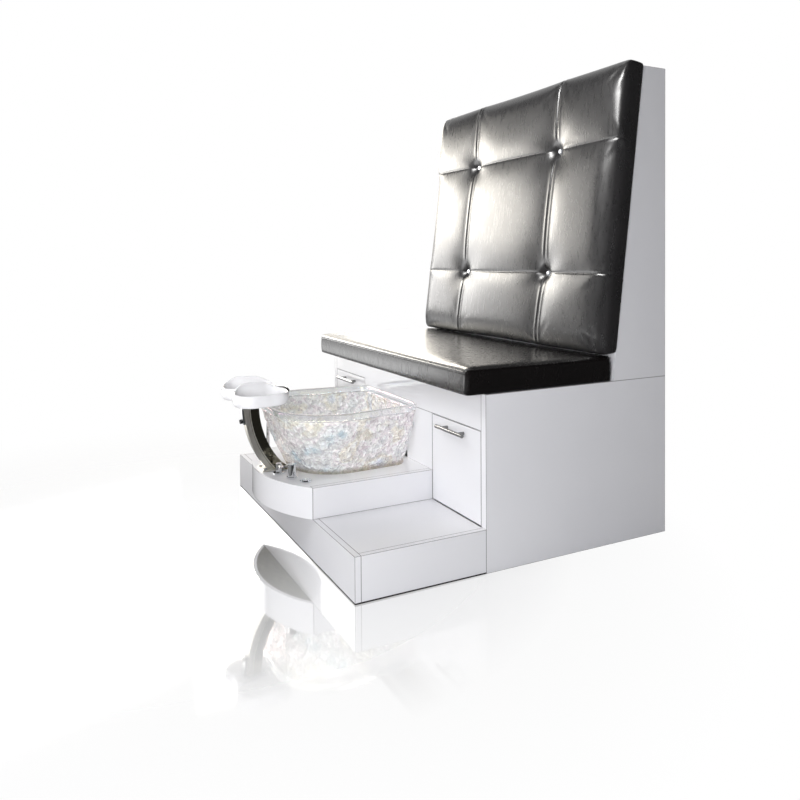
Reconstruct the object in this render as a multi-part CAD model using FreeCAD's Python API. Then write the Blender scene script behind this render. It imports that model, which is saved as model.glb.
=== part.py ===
import FreeCAD, Part
import math
import os

# A pedicure bench. A cabinet with two drawers carries a seat cushion and a leaning, tufted
# back. A step lies in front of it. On the step a platform with a curved front carries a glass
# foot bowl, its water fittings, and a footrest on a curved arm.
# Lengths are in millimetres and angles in degrees. X runs across the bench, Z up, and Y from
# front to back. The pieces are modelled with Y zero at the front face of the step, and are
# moved at the end so that the origin is under the middle of the whole bench.

# Overall sizes
bench_width = 1160.0
step_depth = 410.0
cabinet_depth = 705.0
step_height = 127.0
platform_rise = 95.0
cabinet_height = 516.0
back_rise = 1008.0
back_foot_depth = 226.0
back_top_depth = 97.0
footrest_reach = 190.0

# Boards and clearances
side_board = 25.0
board = 18.0
thin_board = 12.0
overrun = 5.0
reveal = 2.0
soft_gap = 0.3
running_gap = 0.3
shaft_gap = 0.06
hex_sides = 6

# Platform under the bowl
platform_width = 530.0
platform_bulge = 95.0
fascia_board = 12.0

# Cupboard front behind the bowl
right_header_height = 109.0
left_header_height = 69.0
pipe_cutout_width = 178.0
pipe_cutout_bottom = 40.0
pipe_cutout_cover = 77.0
service_cutout_width = 290.0
service_cutout_bottom = 36.0
service_cutout_top = 216.0

# Seat cushion
cushion_height = 80.0
cushion_overhang = 65.0
cushion_crown = 7.0
cushion_corner = 14.0
cushion_draw_in = 4.0
cushion_base_inset = 42.0
cushion_trim = 1.5
cross_crown_share = 0.8

# Back cushion, measured up its own slope
back_cushion_thickness = 70.0
back_cushion_edge = 56.0
back_cushion_lift = 6.0
back_cushion_corner = 16.0
back_cushion_draw_in = 5.0
tuft_width_share = 0.452
tuft_height_share = 0.266
tuft_radius = 44.0
tuft_depth = 13.0
tuft_steep_share = 0.65
button_radius = 11.0
button_height = 9.0
button_seat = 2.0
button_bevel = 4.0
button_sides = 8

# Drawers
drawer_lift = 3.0
drawer_length = 450.0
drawer_box_lift = 20.0
drawer_box_headroom = 34.0
drawer_floor_board = 8.0
slide_height = 45.0
slide_depth = 10.0
slide_sheet = 1.5
slide_space = 12.7
slide_level = 66.0
handle_length = 156.0
handle_centres = 96.0
handle_radius = 6.0
handle_post_radius = 5.0
handle_stand_off = 30.0
handle_drop = 27.0

# Glass bowl
bowl_height = 207.0
bowl_wall = 8.0
bowl_floor = 12.0
bowl_lip = 2.0
bowl_foot_front = 12.0
bowl_foot_back_gap = 34.0
bowl_foot_front_width = 372.0
bowl_foot_back_width = 330.0
bowl_foot_front_corner = 150.0
bowl_foot_back_corner = 50.0
bowl_rim_overhang = 60.0
bowl_rim_back_gap = 18.0
bowl_rim_front_width = 536.0
bowl_rim_back_width = 430.0
bowl_rim_front_corner = 190.0
bowl_rim_back_corner = 35.0
bowl_front_steps = 12
bowl_back_steps = 5
bowl_height_shares = (0.0, 0.07, 0.25, 0.48, 0.75, 1.0)
bowl_spread_shares = (-0.05, 0.08, 0.335, 0.60, 0.85, 1.0)

# Drain
drain_place = 200.0
drain_flange_radius = 35.0
drain_flange_height = 2.5
drain_tube_radius = 22.0
drain_tube_wall = 3.0
drain_tube_length = 62.0
stopper_radius = 27.0
stopper_height = 5.0
stopper_stem_radius = 4.0
stopper_stem_length = 46.0
union_radius = 29.0
union_height = 20.0
waste_radius = 19.0
waste_wall = 2.0
trap_low = 14.0
trap_height = 88.0
trap_width = 78.0
trap_wall = 3.0
trap_outlet_drop = 24.0
trap_stub = 12.0
trap_plate_gap = 30.0
waste_end_gap = 8.0
waste_stub_length = 46.0
waste_collar_radius = 24.0
waste_collar_length = 14.0

# Drain knob on the cupboard front
knob_across = 119.0
knob_drop = 60.0
knob_ring_radius = 21.0
knob_ring_height = 4.0
knob_radius = 14.0
knob_height = 9.0
knob_shaft_radius = 5.0
knob_shaft_length = 30.0
knob_grip_width = 5.0
knob_grip_height = 4.0

# Footrest arm, a bar bent to an arc
arm_heel_back = 5.74
arm_centre_level = 440.0
arm_outer_radius = 342.0
arm_bar_depth = 48.0
arm_width = 35.0
arm_top_level = 430.0
arm_plate_width = 68.0
arm_plate_thickness = 5.0
arm_plate_front = 84.0
arm_plate_back = 5.0
arm_screw_radius = 4.0
arm_screw_head_radius = 6.5
arm_screw_head_height = 5.0
arm_screw_inset = 9.0
arm_nut_radius = 8.0
arm_nut_height = 7.0
arm_slot_width = 7.5
arm_slot_depth = 17.0
footrest_travel = 5.0

# Footrest bracket, lock screw and foot cups
bracket_width = 24.0
bracket_sheet = 6.0
bracket_drop_angle = 10.5
bracket_cap_width = 60.0
bracket_cap_depth = 66.0
bracket_cap_thickness = 6.0
bracket_post_radius = 15.0
bracket_post_height = 10.0
lock_angle = 8.8
lock_head_radius = 7.0
lock_head_height = 8.0
lock_stud_radius = 3.0
cup_width = 122.0
cup_length = 182.0
cup_spacing = 130.0
cup_wall = 7.0
cup_floor = 12.0
cup_side_height = 54.0
cup_hood_height = 80.0
cup_hood_share = 0.55
cup_corner = 56.0
cup_corner_steps = 8
cup_foot_levels = (0.0, 5.0, 16.0)
cup_foot_insets = (17.0, 8.0, 3.0)
cup_dish_levels = (0.0, 8.0)
cup_dish_insets = (9.0, 1.5)
cup_bridge_width = 44.0
cup_bridge_length = 110.0
cup_bridge_height = 24.0

# Water fittings on the platform, on a ring line inside its curved edge
fitting_inset = 48.0
pipe_level = 165.0
pipe_radius = 7.5
pipe_wall = 1.0
inlet_thread_radius = 10.5
inlet_thread_length = 16.0
inlet_end_gap = 20.0
tap_across = 64.0
tap_body_radius = 15.0
tap_body_drop = 70.0
tap_neck_radius = 10.0
tap_neck_height = 16.0
tap_stem_radius = 4.0
tap_stem_height = 11.0
tap_collar_radius = 20.0
tap_collar_height = 4.0
tap_hub_radius = 9.0
tap_hub_height = 16.0
tap_lever_reach = 42.0
tap_lever_width = 11.0
tap_lever_thickness = 5.0
tap_lever_drop = 2.0
sprayer_across = 136.0
sprayer_radius = 14.0
sprayer_height = 38.0
sprayer_neck_radius = 9.0
sprayer_neck_length = 40.0
holder_radius = 17.0
holder_height = 6.0
air_button_across = 190.0
air_button_radius = 12.0
air_button_height = 9.0
air_button_proud = 3.5
air_button_travel = 3.0
air_ring_radius = 19.0
air_ring_height = 3.0
air_body_radius = 15.0
air_body_length = 46.0

# Swivelling spout at the front left corner of the platform
spout_across = 222.0
spout_place = 8.0
spout_radius = 7.0
spout_bore = 5.0
spout_reach = 78.0
spout_top_level = 457.0
spout_bend = 16.0
spout_bend_steps = 4
spout_tip_length = 8.0
spout_turn = 52.0
spout_base_radius = 18.0
spout_base_height = 14.0
spout_flange_height = 5.0
spout_tail_radius = 12.0
spout_tail_drop = 66.0
spout_socket_depth = 10.0

# Places worked out from the sizes
half_width = bench_width / 2
inner_half = half_width - side_board
total_depth = step_depth + cabinet_depth
cabinet_front = step_depth
panel_back = cabinet_front + board
cabinet_inner_back = total_depth - board
platform_top = step_height + platform_rise
deck_bottom = platform_top - board
platform_half = platform_width / 2
right_drawer_top = cabinet_height - right_header_height
left_drawer_top = cabinet_height - left_header_height
pipe_cutout_top = right_drawer_top - pipe_cutout_cover
knob_level = right_drawer_top - knob_drop
back_top = cabinet_height + back_rise
back_foot_front = total_depth - back_foot_depth
back_top_front = total_depth - back_top_depth
lean = math.degrees(math.atan2(back_foot_depth - back_top_depth, back_rise))
slope_length = math.hypot(back_foot_depth - back_top_depth, back_rise)
curve_radius = (platform_half ** 2 + platform_bulge ** 2) / (2 * platform_bulge)
curve_centre = curve_radius - platform_bulge
deck_radius = curve_radius - fascia_board
deck_half = math.sqrt(deck_radius ** 2 - curve_centre ** 2)
arm_inner_radius = arm_outer_radius - arm_bar_depth
arm_centre_rise = arm_centre_level - platform_top
arm_centre_back = arm_heel_back + math.sqrt(arm_inner_radius ** 2 - arm_centre_rise ** 2)
middle_of_depth = (total_depth - footrest_reach) / 2


# Shared shapes
def vec(x, y, z):
    return FreeCAD.Vector(x, y, z)


def block(x_range, y_range, z_range):
    low = vec(x_range[0], y_range[0], z_range[0])
    size = [r[1] - r[0] for r in (x_range, y_range, z_range)]
    return Part.makeBox(size[0], size[1], size[2], low)


def rod(radius, length, start, direction):
    return Part.makeCylinder(radius, length, start, direction)


def post(radius, x, y, low, high):
    return rod(radius, high - low, vec(x, y, low), vec(0, 0, 1))


def tube(outer, inner, length, start, direction):
    reach = length + 2 * overrun
    bore_start = start - direction * overrun
    return rod(outer, length, start, direction).cut(rod(inner, reach, bore_start, direction))


def prism(points, sweep):
    outline = Part.makePolygon(points + [points[0]])
    return Part.Face(outline).extrude(sweep)


def side_prism(points, x_range):
    corners = [vec(x_range[0], y, z) for y, z in points]
    return prism(corners, vec(x_range[1] - x_range[0], 0, 0))


def mirrored(shape):
    return shape.mirror(vec(0, 0, 0), vec(1, 0, 0))


def stepped_outline(points, radii, steps):
    """Corners of an outline through the points, each one rounded in short straight steps."""
    corners = []
    count = len(points)
    for i, corner in enumerate(points):
        before = (points[i - 1] - corner).normalize()
        after = (points[(i + 1) % count] - corner).normalize()
        half_angle = before.getAngle(after) / 2
        centre = corner + (before + after).normalize() * radii[i] / math.sin(half_angle)
        start = corner + before * radii[i] / math.tan(half_angle) - centre
        turn = math.degrees(math.pi - 2 * half_angle) / steps[i]
        for step in range(steps[i] + 1):
            spin = FreeCAD.Rotation(before.cross(after), -turn * step)
            corners.append(centre + spin.multVec(start))
    return corners


def flat_face(corners):
    return Part.Face(Part.makePolygon(corners + [corners[0]]))


def skinned(outlines):
    """Solid through outlines of equally many corners, skinned with flat faces."""
    faces = [flat_face(outlines[0]), flat_face(outlines[-1])]
    for lower, upper in zip(outlines, outlines[1:]):
        for i, corner in enumerate(lower):
            after = (i + 1) % len(lower)
            faces.append(flat_face([corner, lower[after], upper[after]]))
            faces.append(flat_face([corner, upper[after], upper[i]]))
    shell = Part.Shell(faces)
    shell.sewShape()
    solid = Part.Solid(shell)
    if solid.Volume < 0:
        solid.reverse()
    return solid.removeSplitter()


def ring_corners(radius, x, y, level, sides):
    corners = []
    for i in range(sides):
        angle = 2 * math.pi * i / sides
        corners.append(vec(x + radius * math.cos(angle), y + radius * math.sin(angle), level))
    return corners


def sided_post(radius, x, y, low, high, sides):
    return prism(ring_corners(radius, x, y, low, sides), vec(0, 0, high - low))


def sided_stack(radii, levels, x, y, sides):
    """Solid through regular outlines of the given radii at the given levels."""
    return skinned([ring_corners(radius, x, y, level, sides) for radius, level in zip(radii, levels)])


def mitred_pipe(points, radius):
    """Round pipe through the points, mitred where it turns."""
    direction = (points[1] - points[0]).normalize()
    section = Part.Wire(Part.makeCircle(radius, points[0], direction))
    return Part.makePolygon(points).makePipeShell([section], True, False, 1)


def ring_point(across, inset):
    """Place on the line that runs inside the curved front edge of the platform."""
    radius = curve_radius - inset
    return across, curve_centre - math.sqrt(radius ** 2 - across ** 2)


# Cabinet
def cabinet_side():
    return block((inner_half, half_width), (cabinet_front, total_depth), (0, cabinet_height))


def cabinet_back_panel():
    panel = block((-inner_half, inner_half), (cabinet_inner_back, total_depth), (0, cabinet_height))
    half_cutout = service_cutout_width / 2
    cutout = block(
        (-half_cutout, half_cutout),
        (cabinet_inner_back - overrun, total_depth + overrun),
        (service_cutout_bottom, service_cutout_top),
    )
    return panel.cut(cutout)


def cabinet_floor():
    return block((-inner_half, inner_half), (panel_back, cabinet_inner_back), (0, board))


def seat_deck():
    level = (cabinet_height - board, cabinet_height)
    return block((-inner_half, inner_half), (panel_back, cabinet_inner_back), level)


def front_header():
    points = [
        (-inner_half, left_drawer_top),
        (-platform_half, left_drawer_top),
        (-platform_half, right_drawer_top),
        (inner_half, right_drawer_top),
        (inner_half, cabinet_height),
        (-inner_half, cabinet_height),
    ]
    corners = [vec(x, cabinet_front, z) for x, z in points]
    return prism(corners, vec(0, board, 0))


def front_centre_panel():
    panel = block((-platform_half, platform_half), (cabinet_front, panel_back), (0, right_drawer_top))
    half_cutout = pipe_cutout_width / 2
    depth = (cabinet_front - overrun, panel_back + overrun)
    cutout = block((-half_cutout, half_cutout), depth, (pipe_cutout_bottom, pipe_cutout_top))
    start = vec(knob_across, cabinet_front - overrun, knob_level)
    shaft_hole = rod(knob_shaft_radius + shaft_gap, board + 2 * overrun, start, vec(0, 1, 0))
    return panel.cut(cutout).cut(shaft_hole)


def partition():
    across = (platform_half - board, platform_half)
    level = (board, cabinet_height - board)
    return block(across, (panel_back, cabinet_inner_back), level)


# Step
def step_front_fascia():
    return block((-half_width, half_width), (0, board), (0, step_height))


def step_side():
    return block((half_width - board, half_width), (board, step_depth), (0, step_height))


def step_tread():
    half_tread = half_width - board
    level = (step_height - board, step_height)
    tread = block((-half_tread, half_tread), (board, step_depth), level)
    low = step_height - board - overrun
    drain_hole = post(union_radius + reveal, 0, drain_place, low, step_height + overrun)
    return tread.cut(drain_hole)


# Platform
def curved_face(half, bulge_radius, level, back):
    """Outline with straight sides and a curved front, from the front arc back to a given depth."""
    left = vec(-half, 0, level)
    right = vec(half, 0, level)
    front = vec(0, curve_centre - bulge_radius, level)
    edges = [
        Part.Arc(left, front, right).toShape(),
        Part.LineSegment(right, vec(half, back, level)).toShape(),
        Part.LineSegment(vec(half, back, level), vec(-half, back, level)).toShape(),
        Part.LineSegment(vec(-half, back, level), left).toShape(),
    ]
    return Part.Face(Part.Wire(edges))


def front_segment(half, bulge_radius, level):
    """Area between the front arc and its chord."""
    left = vec(-half, 0, level)
    right = vec(half, 0, level)
    front = vec(0, curve_centre - bulge_radius, level)
    edges = [Part.Arc(left, front, right).toShape(), Part.LineSegment(right, left).toShape()]
    return Part.Face(Part.Wire(edges))


def platform_curved_fascia():
    outer = front_segment(platform_half, curve_radius, step_height)
    inner = front_segment(deck_half, deck_radius, step_height)
    return outer.extrude(vec(0, 0, platform_rise)).cut(inner.extrude(vec(0, 0, platform_rise)))


def platform_side():
    return block((deck_half, platform_half), (0, step_depth), (step_height, platform_top))


def platform_soffit():
    return front_segment(deck_half, deck_radius, step_height).extrude(vec(0, 0, thin_board))


def deck_holes():
    low = deck_bottom - overrun
    high = platform_top + overrun
    holes = [post(drain_tube_radius + reveal, 0, drain_place, low, high)]
    for side in (-1, 1):
        across, depth = ring_point(tap_across, fitting_inset)
        holes.append(post(tap_body_radius, side * across, depth, low, high))
    across, depth = ring_point(sprayer_across, fitting_inset)
    holes.append(post(holder_radius - reveal, across, depth, low, high))
    across, depth = ring_point(air_button_across, fitting_inset)
    holes.append(post(air_body_radius, across, depth, low, high))
    holes.append(post(spout_tail_radius, -spout_across, spout_place, low, high))
    for x, y in arm_screw_places():
        holes.append(post(arm_screw_radius, x, y, low, high))
    return Part.makeCompound(holes)


def platform_deck():
    board_shape = curved_face(deck_half, deck_radius, deck_bottom, step_depth)
    return board_shape.extrude(vec(0, 0, board)).cut(deck_holes())


# Leaning back of the bench
def slope_front(level):
    return back_foot_front + (level - cabinet_height) * math.tan(math.radians(lean))


def back_cheek():
    points = [
        (back_foot_front, cabinet_height),
        (back_top_front, back_top),
        (total_depth, back_top),
        (total_depth, cabinet_height),
    ]
    return side_prism(points, (inner_half, half_width))


def slope_board_depth():
    return board / math.cos(math.radians(lean))


def back_front_board():
    points = [
        (back_foot_front, cabinet_height),
        (back_top_front, back_top),
        (back_top_front + slope_board_depth(), back_top),
        (back_foot_front + slope_board_depth(), cabinet_height),
    ]
    return side_prism(points, (-inner_half, inner_half))


def back_rear_board():
    level = (cabinet_height, back_top)
    return block((-inner_half, inner_half), (cabinet_inner_back, total_depth), level)


def back_top_cap():
    low = back_top - board
    points = [
        (slope_front(low) + slope_board_depth(), low),
        (slope_front(back_top) + slope_board_depth(), back_top),
        (cabinet_inner_back, back_top),
        (cabinet_inner_back, low),
    ]
    return side_prism(points, (-inner_half, inner_half))


# Cushions. Each is modelled flat: width along X, length along Y, thickness along Z from zero.
def crowned_bar(width, edge, crown, corner, lengthwise, length, seams=()):
    """Bar with a flat base, rounded shoulders and a crown between each two seams.

    It is a little too wide and too long, so that a cushion's plan trims it all round."""
    half = width / 2 + cushion_trim
    reach = length + 2 * cushion_trim
    shoulder = edge - corner
    diagonal = corner * math.sin(math.pi / 4)

    def at(x, z):
        if lengthwise:
            return vec(x, -cushion_trim, z)
        return vec(-reach / 2, width / 2 + x, z)

    stations = [half - corner] + sorted(seams, reverse=True) + [corner - half]
    edges = [
        Part.LineSegment(at(-half, 0), at(half, 0)),
        Part.LineSegment(at(half, 0), at(half, shoulder)),
        Part.Arc(
            at(half, shoulder),
            at(half - corner + diagonal, shoulder + diagonal),
            at(half - corner, edge),
        ),
    ]
    for first, last in zip(stations, stations[1:]):
        top = at((first + last) / 2, edge + crown)
        edges.append(Part.Arc(at(first, edge), top, at(last, edge)))
    edges.append(
        Part.Arc(
            at(corner - half, edge),
            at(corner - half - diagonal, shoulder + diagonal),
            at(-half, shoulder),
        )
    )
    edges.append(Part.LineSegment(at(-half, shoulder), at(-half, 0)))
    outline = Part.Wire([edge_curve.toShape() for edge_curve in edges])
    sweep = vec(0, reach, 0) if lengthwise else vec(reach, 0, 0)
    return Part.Face(outline).extrude(sweep)


def drawn_in_plan(width, length, draw_in, corner, height):
    """Upright block whose four sides bow inwards a little between rounded corners."""
    half = width / 2
    diagonal = corner * (1 - math.sin(math.pi / 4))
    edges = [
        Part.Arc(vec(corner - half, 0, 0), vec(0, draw_in, 0), vec(half - corner, 0, 0)),
        Part.Arc(vec(half - corner, 0, 0), vec(half - diagonal, diagonal, 0), vec(half, corner, 0)),
        Part.Arc(
            vec(half, corner, 0),
            vec(half - draw_in, length / 2, 0),
            vec(half, length - corner, 0),
        ),
        Part.Arc(
            vec(half, length - corner, 0),
            vec(half - diagonal, length - diagonal, 0),
            vec(half - corner, length, 0),
        ),
        Part.Arc(
            vec(half - corner, length, 0),
            vec(0, length - draw_in, 0),
            vec(corner - half, length, 0),
        ),
        Part.Arc(
            vec(corner - half, length, 0),
            vec(diagonal - half, length - diagonal, 0),
            vec(-half, length - corner, 0),
        ),
        Part.Arc(
            vec(-half, length - corner, 0),
            vec(draw_in - half, length / 2, 0),
            vec(-half, corner, 0),
        ),
        Part.Arc(vec(-half, corner, 0), vec(diagonal - half, diagonal, 0), vec(corner - half, 0, 0)),
    ]
    outline = Part.Wire([edge.toShape() for edge in edges])
    return Part.Face(outline).extrude(vec(0, 0, height))


def base_pocket(width, length, inset, clearance):
    """Room in the underside of a cushion for the board that it is upholstered on."""
    half = width / 2 - inset + clearance
    depth = (inset - clearance, length - inset + clearance)
    return block((-half, half), depth, (-overrun, thin_board + clearance))


def cushion_base(width, length, inset):
    half = width / 2 - inset
    return block((-half, half), (inset, length - inset), (0, thin_board))


def seat_length():
    return back_foot_front - soft_gap - (cabinet_front - cushion_overhang)


def seat_place():
    return FreeCAD.Placement(
        vec(0, cabinet_front - cushion_overhang, cabinet_height),
        FreeCAD.Rotation(),
    )


def seat_cushion_board():
    shape = cushion_base(bench_width, seat_length(), cushion_base_inset)
    shape.Placement = seat_place()
    return shape


def seat_cushion():
    edge = cushion_height - cushion_crown
    length = seat_length()
    cross_crown = cushion_crown * cross_crown_share
    across = crowned_bar(bench_width, edge, cross_crown, cushion_corner, True, length)
    along = crowned_bar(length, edge, cushion_crown, cushion_corner, False, bench_width)
    plan = drawn_in_plan(bench_width, length, cushion_draw_in, cushion_corner, cushion_height + overrun)
    shape = across.common(along).common(plan)
    shape = shape.cut(base_pocket(bench_width, length, cushion_base_inset, soft_gap))
    shape.Placement = seat_place()
    return shape


def back_cushion_start():
    level = cushion_height + back_cushion_lift
    return level / math.cos(math.radians(lean))


def back_cushion_length():
    return slope_length - back_cushion_start()


def back_place():
    angle = math.radians(lean)
    start = back_cushion_start()
    y = back_foot_front + start * math.sin(angle) - soft_gap * math.cos(angle)
    z = cabinet_height + start * math.cos(angle) + soft_gap * math.sin(angle)
    turn = FreeCAD.Rotation(vec(1, 0, 0), math.degrees(math.pi / 2 - angle))
    return FreeCAD.Placement(vec(0, y, z), turn)


def tuft_places():
    across = bench_width * tuft_width_share / 2
    up = back_cushion_length() * tuft_height_share
    levels = (up, back_cushion_length() - up)
    return [(side * across, level) for level in levels for side in (-1, 1)]


def back_cushion():
    """Cushion with two seams each way, crowned between them and drawn in at four tufts."""
    length = back_cushion_length()
    crown = back_cushion_thickness - back_cushion_edge
    corner = back_cushion_corner
    seam_x = bench_width * tuft_width_share / 2
    seam_y = length / 2 - length * tuft_height_share
    cross_crown = crown * cross_crown_share
    across = crowned_bar(
        bench_width, back_cushion_edge, cross_crown, corner, True, length, (-seam_x, seam_x)
    )
    along = crowned_bar(
        length, back_cushion_edge, crown, corner, False, bench_width, (-seam_y, seam_y)
    )
    tall = back_cushion_thickness + overrun
    plan = drawn_in_plan(bench_width, length, back_cushion_draw_in, corner, tall)
    shape = across.common(along).common(plan)
    floor = back_cushion_edge - tuft_depth
    folds = (button_radius, tuft_radius / 2, tuft_radius, tuft_radius)
    levels = (floor, floor + tuft_depth * tuft_steep_share, back_cushion_edge, tall)
    seat_radius = button_radius + soft_gap / math.cos(math.pi / button_sides)
    for x, y in tuft_places():
        dimple = sided_stack(folds, levels, x, y, button_sides)
        seat = sided_post(seat_radius, x, y, floor - button_seat, back_cushion_edge, button_sides)
        shape = shape.cut(dimple).cut(seat)
    shape = shape.cut(base_pocket(bench_width, length, cushion_base_inset, soft_gap))
    shape.Placement = back_place()
    return shape


def back_cushion_board():
    shape = cushion_base(bench_width, back_cushion_length(), cushion_base_inset)
    shape.Placement = back_place()
    return shape


def tuft_buttons():
    """Four cut crystal buttons, seated at the bottom of the tufts."""
    low = back_cushion_edge - tuft_depth - button_seat + soft_gap
    high = low + button_height
    radii = (button_radius, button_radius, button_radius - button_bevel)
    levels = (low, high - button_bevel, high)
    buttons = [sided_stack(radii, levels, x, y, button_sides) for x, y in tuft_places()]
    shape = Part.makeCompound(buttons)
    shape.Placement = back_place()
    return shape


# Drawers, modelled on the right of the bench
def drawer_front(top):
    across = (platform_half + reveal, inner_half - reveal)
    return block(across, (cabinet_front, panel_back), (step_height + drawer_lift, top - reveal))


def drawer_box(top):
    left = platform_half + slide_space
    right = inner_half - slide_space
    low = step_height + drawer_box_lift
    high = top - drawer_box_headroom
    outer = block((left, right), (panel_back, panel_back + drawer_length), (low, high))
    inner = block(
        (left + thin_board, right - thin_board),
        (panel_back + thin_board, panel_back + drawer_length - thin_board),
        (low + drawer_floor_board, high + overrun),
    )
    return outer.cut(inner)


def channel(wall_x, opens_towards, height):
    """Drawer slide member: an upright web with a flange along its top and bottom."""
    tip = wall_x + opens_towards * slide_depth
    web_face = wall_x + opens_towards * slide_sheet
    middle = step_height + slide_level
    depth = (panel_back, panel_back + drawer_length)
    outer = block(sorted((wall_x, tip)), depth, (middle - height / 2, middle + height / 2))
    hollow_end = tip + opens_towards * overrun
    hollow = block(
        sorted((web_face, hollow_end)),
        (panel_back - overrun, panel_back + drawer_length + overrun),
        (middle - height / 2 + slide_sheet, middle + height / 2 - slide_sheet),
    )
    return outer.cut(hollow)


def fixed_slides():
    return [channel(platform_half, 1, slide_height), channel(inner_half, -1, slide_height)]


def moving_slides():
    height = slide_height - 2 * (slide_sheet + running_gap)
    left = channel(platform_half + slide_space, -1, height)
    right = channel(inner_half - slide_space, 1, height)
    return Part.makeCompound([left, right])


def slide_rails():
    right_pair = fixed_slides()
    return Part.makeCompound(right_pair + [mirrored(rail) for rail in right_pair])


def drawer_handle(top):
    middle = (platform_half + inner_half) / 2
    level = top - handle_drop
    bar_depth = cabinet_front - handle_stand_off + handle_radius
    start = vec(middle - handle_length / 2, bar_depth, level)
    shape = rod(handle_radius, handle_length, start, vec(1, 0, 0))
    for side in (-1, 1):
        foot = vec(middle + side * handle_centres / 2, bar_depth, level)
        reach = cabinet_front - bar_depth
        shape = shape.fuse(rod(handle_post_radius, reach, foot, vec(0, 1, 0)))
    return shape.removeSplitter()


# Glass bowl
def between(first, last, share):
    return first + (last - first) * share


def bowl_outline(level, spread, inset):
    front_half = between(bowl_foot_front_width, bowl_rim_front_width, spread) / 2 - inset
    back_half = between(bowl_foot_back_width, bowl_rim_back_width, spread) / 2 - inset
    front = between(bowl_foot_front, -bowl_rim_overhang, spread) + inset
    back = step_depth - between(bowl_foot_back_gap, bowl_rim_back_gap, spread) - inset
    front_corner = between(bowl_foot_front_corner, bowl_rim_front_corner, spread) - inset
    back_corner = between(bowl_foot_back_corner, bowl_rim_back_corner, spread) - inset
    points = [
        vec(back_half, back, level),
        vec(front_half, front, level),
        vec(-front_half, front, level),
        vec(-back_half, back, level),
    ]
    radii = [back_corner, front_corner, front_corner, back_corner]
    steps = [bowl_back_steps, bowl_front_steps, bowl_front_steps, bowl_back_steps]
    return stepped_outline(points, radii, steps)


def bowl_body(inset, low, lip_step):
    """Bowl form through its outlines, with a chamfer of the lip's height at the rim."""
    high = platform_top + bowl_height
    outlines = []
    for height_share, spread in zip(bowl_height_shares, bowl_spread_shares):
        level = between(low, high - bowl_lip, height_share)
        outlines.append(bowl_outline(level, spread, inset))
    outlines.append(bowl_outline(high, bowl_spread_shares[-1], inset + lip_step))
    return skinned(outlines)


def bowl():
    outer = bowl_body(0, platform_top, bowl_lip)
    inner = bowl_body(bowl_wall, platform_top + bowl_floor, -bowl_lip / 2)
    rim = platform_top + bowl_height
    hole = post(drain_tube_radius + running_gap, 0, drain_place, platform_top - overrun, rim)
    return outer.cut(inner).cut(hole)


# Drain
def drain_flange():
    top = platform_top + bowl_floor
    plate = post(drain_flange_radius, 0, drain_place, top, top + drain_flange_height)
    tail = post(drain_tube_radius, 0, drain_place, top - drain_tube_length, top)
    bore_low = top - drain_tube_length - overrun
    bore_high = top + drain_flange_height + overrun
    bore = post(drain_tube_radius - drain_tube_wall, 0, drain_place, bore_low, bore_high)
    return plate.fuse(tail).cut(bore).removeSplitter()


def drain_stopper():
    low = platform_top + bowl_floor + drain_flange_height + running_gap
    cap = post(stopper_radius, 0, drain_place, low, low + stopper_height)
    stem = post(stopper_stem_radius, 0, drain_place, low - stopper_stem_length, low)
    return cap.fuse(stem).removeSplitter()


def trap_start():
    return platform_top + bowl_floor - drain_tube_length


def waste_level():
    return trap_low + trap_height - trap_outlet_drop


def drain_trap():
    """Box trap: a closed box with a dip plate inside and its outlet near the top."""
    half = trap_width / 2
    high = trap_low + trap_height
    inner = half - trap_wall
    inner_high = high - trap_wall
    union_low = trap_start() - union_height / 2
    union_high = union_low + union_height
    box = block((-half, half), (drain_place - half, drain_place + half), (trap_low, high))
    hollow = block(
        (-inner, inner), (drain_place - inner, drain_place + inner), (trap_low + trap_wall, inner_high)
    )
    plate_front = drain_place + waste_radius
    plate = block(
        (-half, half), (plate_front, plate_front + trap_wall), (trap_low + trap_plate_gap, high)
    )
    inlet = post(waste_radius, 0, drain_place, inner_high, union_high)
    collar = sided_post(union_radius, 0, drain_place, union_low, union_high, hex_sides)
    bore_radius = waste_radius - trap_wall
    inlet_bore = post(bore_radius, 0, drain_place, inner_high - overrun, trap_start() + overrun)
    socket = post(drain_tube_radius, 0, drain_place, trap_start(), union_high + overrun)
    outlet_start = vec(0, drain_place + inner, waste_level())
    outlet_length = trap_wall + trap_stub
    outlet = rod(waste_radius, outlet_length, outlet_start, vec(0, 1, 0))
    outlet_bore = rod(bore_radius, outlet_length + overrun, outlet_start, vec(0, 1, 0))
    shell = box.cut(hollow).fuse(plate).fuse(inlet).fuse(collar).fuse(outlet)
    return shell.cut(inlet_bore).cut(socket).cut(outlet_bore).removeSplitter()


def waste_pipe():
    first = drain_place + trap_width / 2 + trap_stub
    length = total_depth - waste_end_gap - first
    start = vec(0, first, waste_level())
    collar_start = vec(0, first + length - waste_stub_length - waste_collar_length, waste_level())
    bore_radius = waste_radius - waste_wall
    pipe = tube(waste_radius, bore_radius, length, start, vec(0, 1, 0))
    collar = tube(waste_collar_radius, bore_radius, waste_collar_length, collar_start, vec(0, 1, 0))
    return pipe.fuse(collar).removeSplitter()


# Drain knob
def knob_axis(depth):
    return vec(knob_across, depth, knob_level)


def drain_knob_ring():
    front = cabinet_front - knob_ring_height
    hole = knob_radius + running_gap
    return tube(knob_ring_radius, hole, knob_ring_height, knob_axis(front), vec(0, 1, 0))


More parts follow.
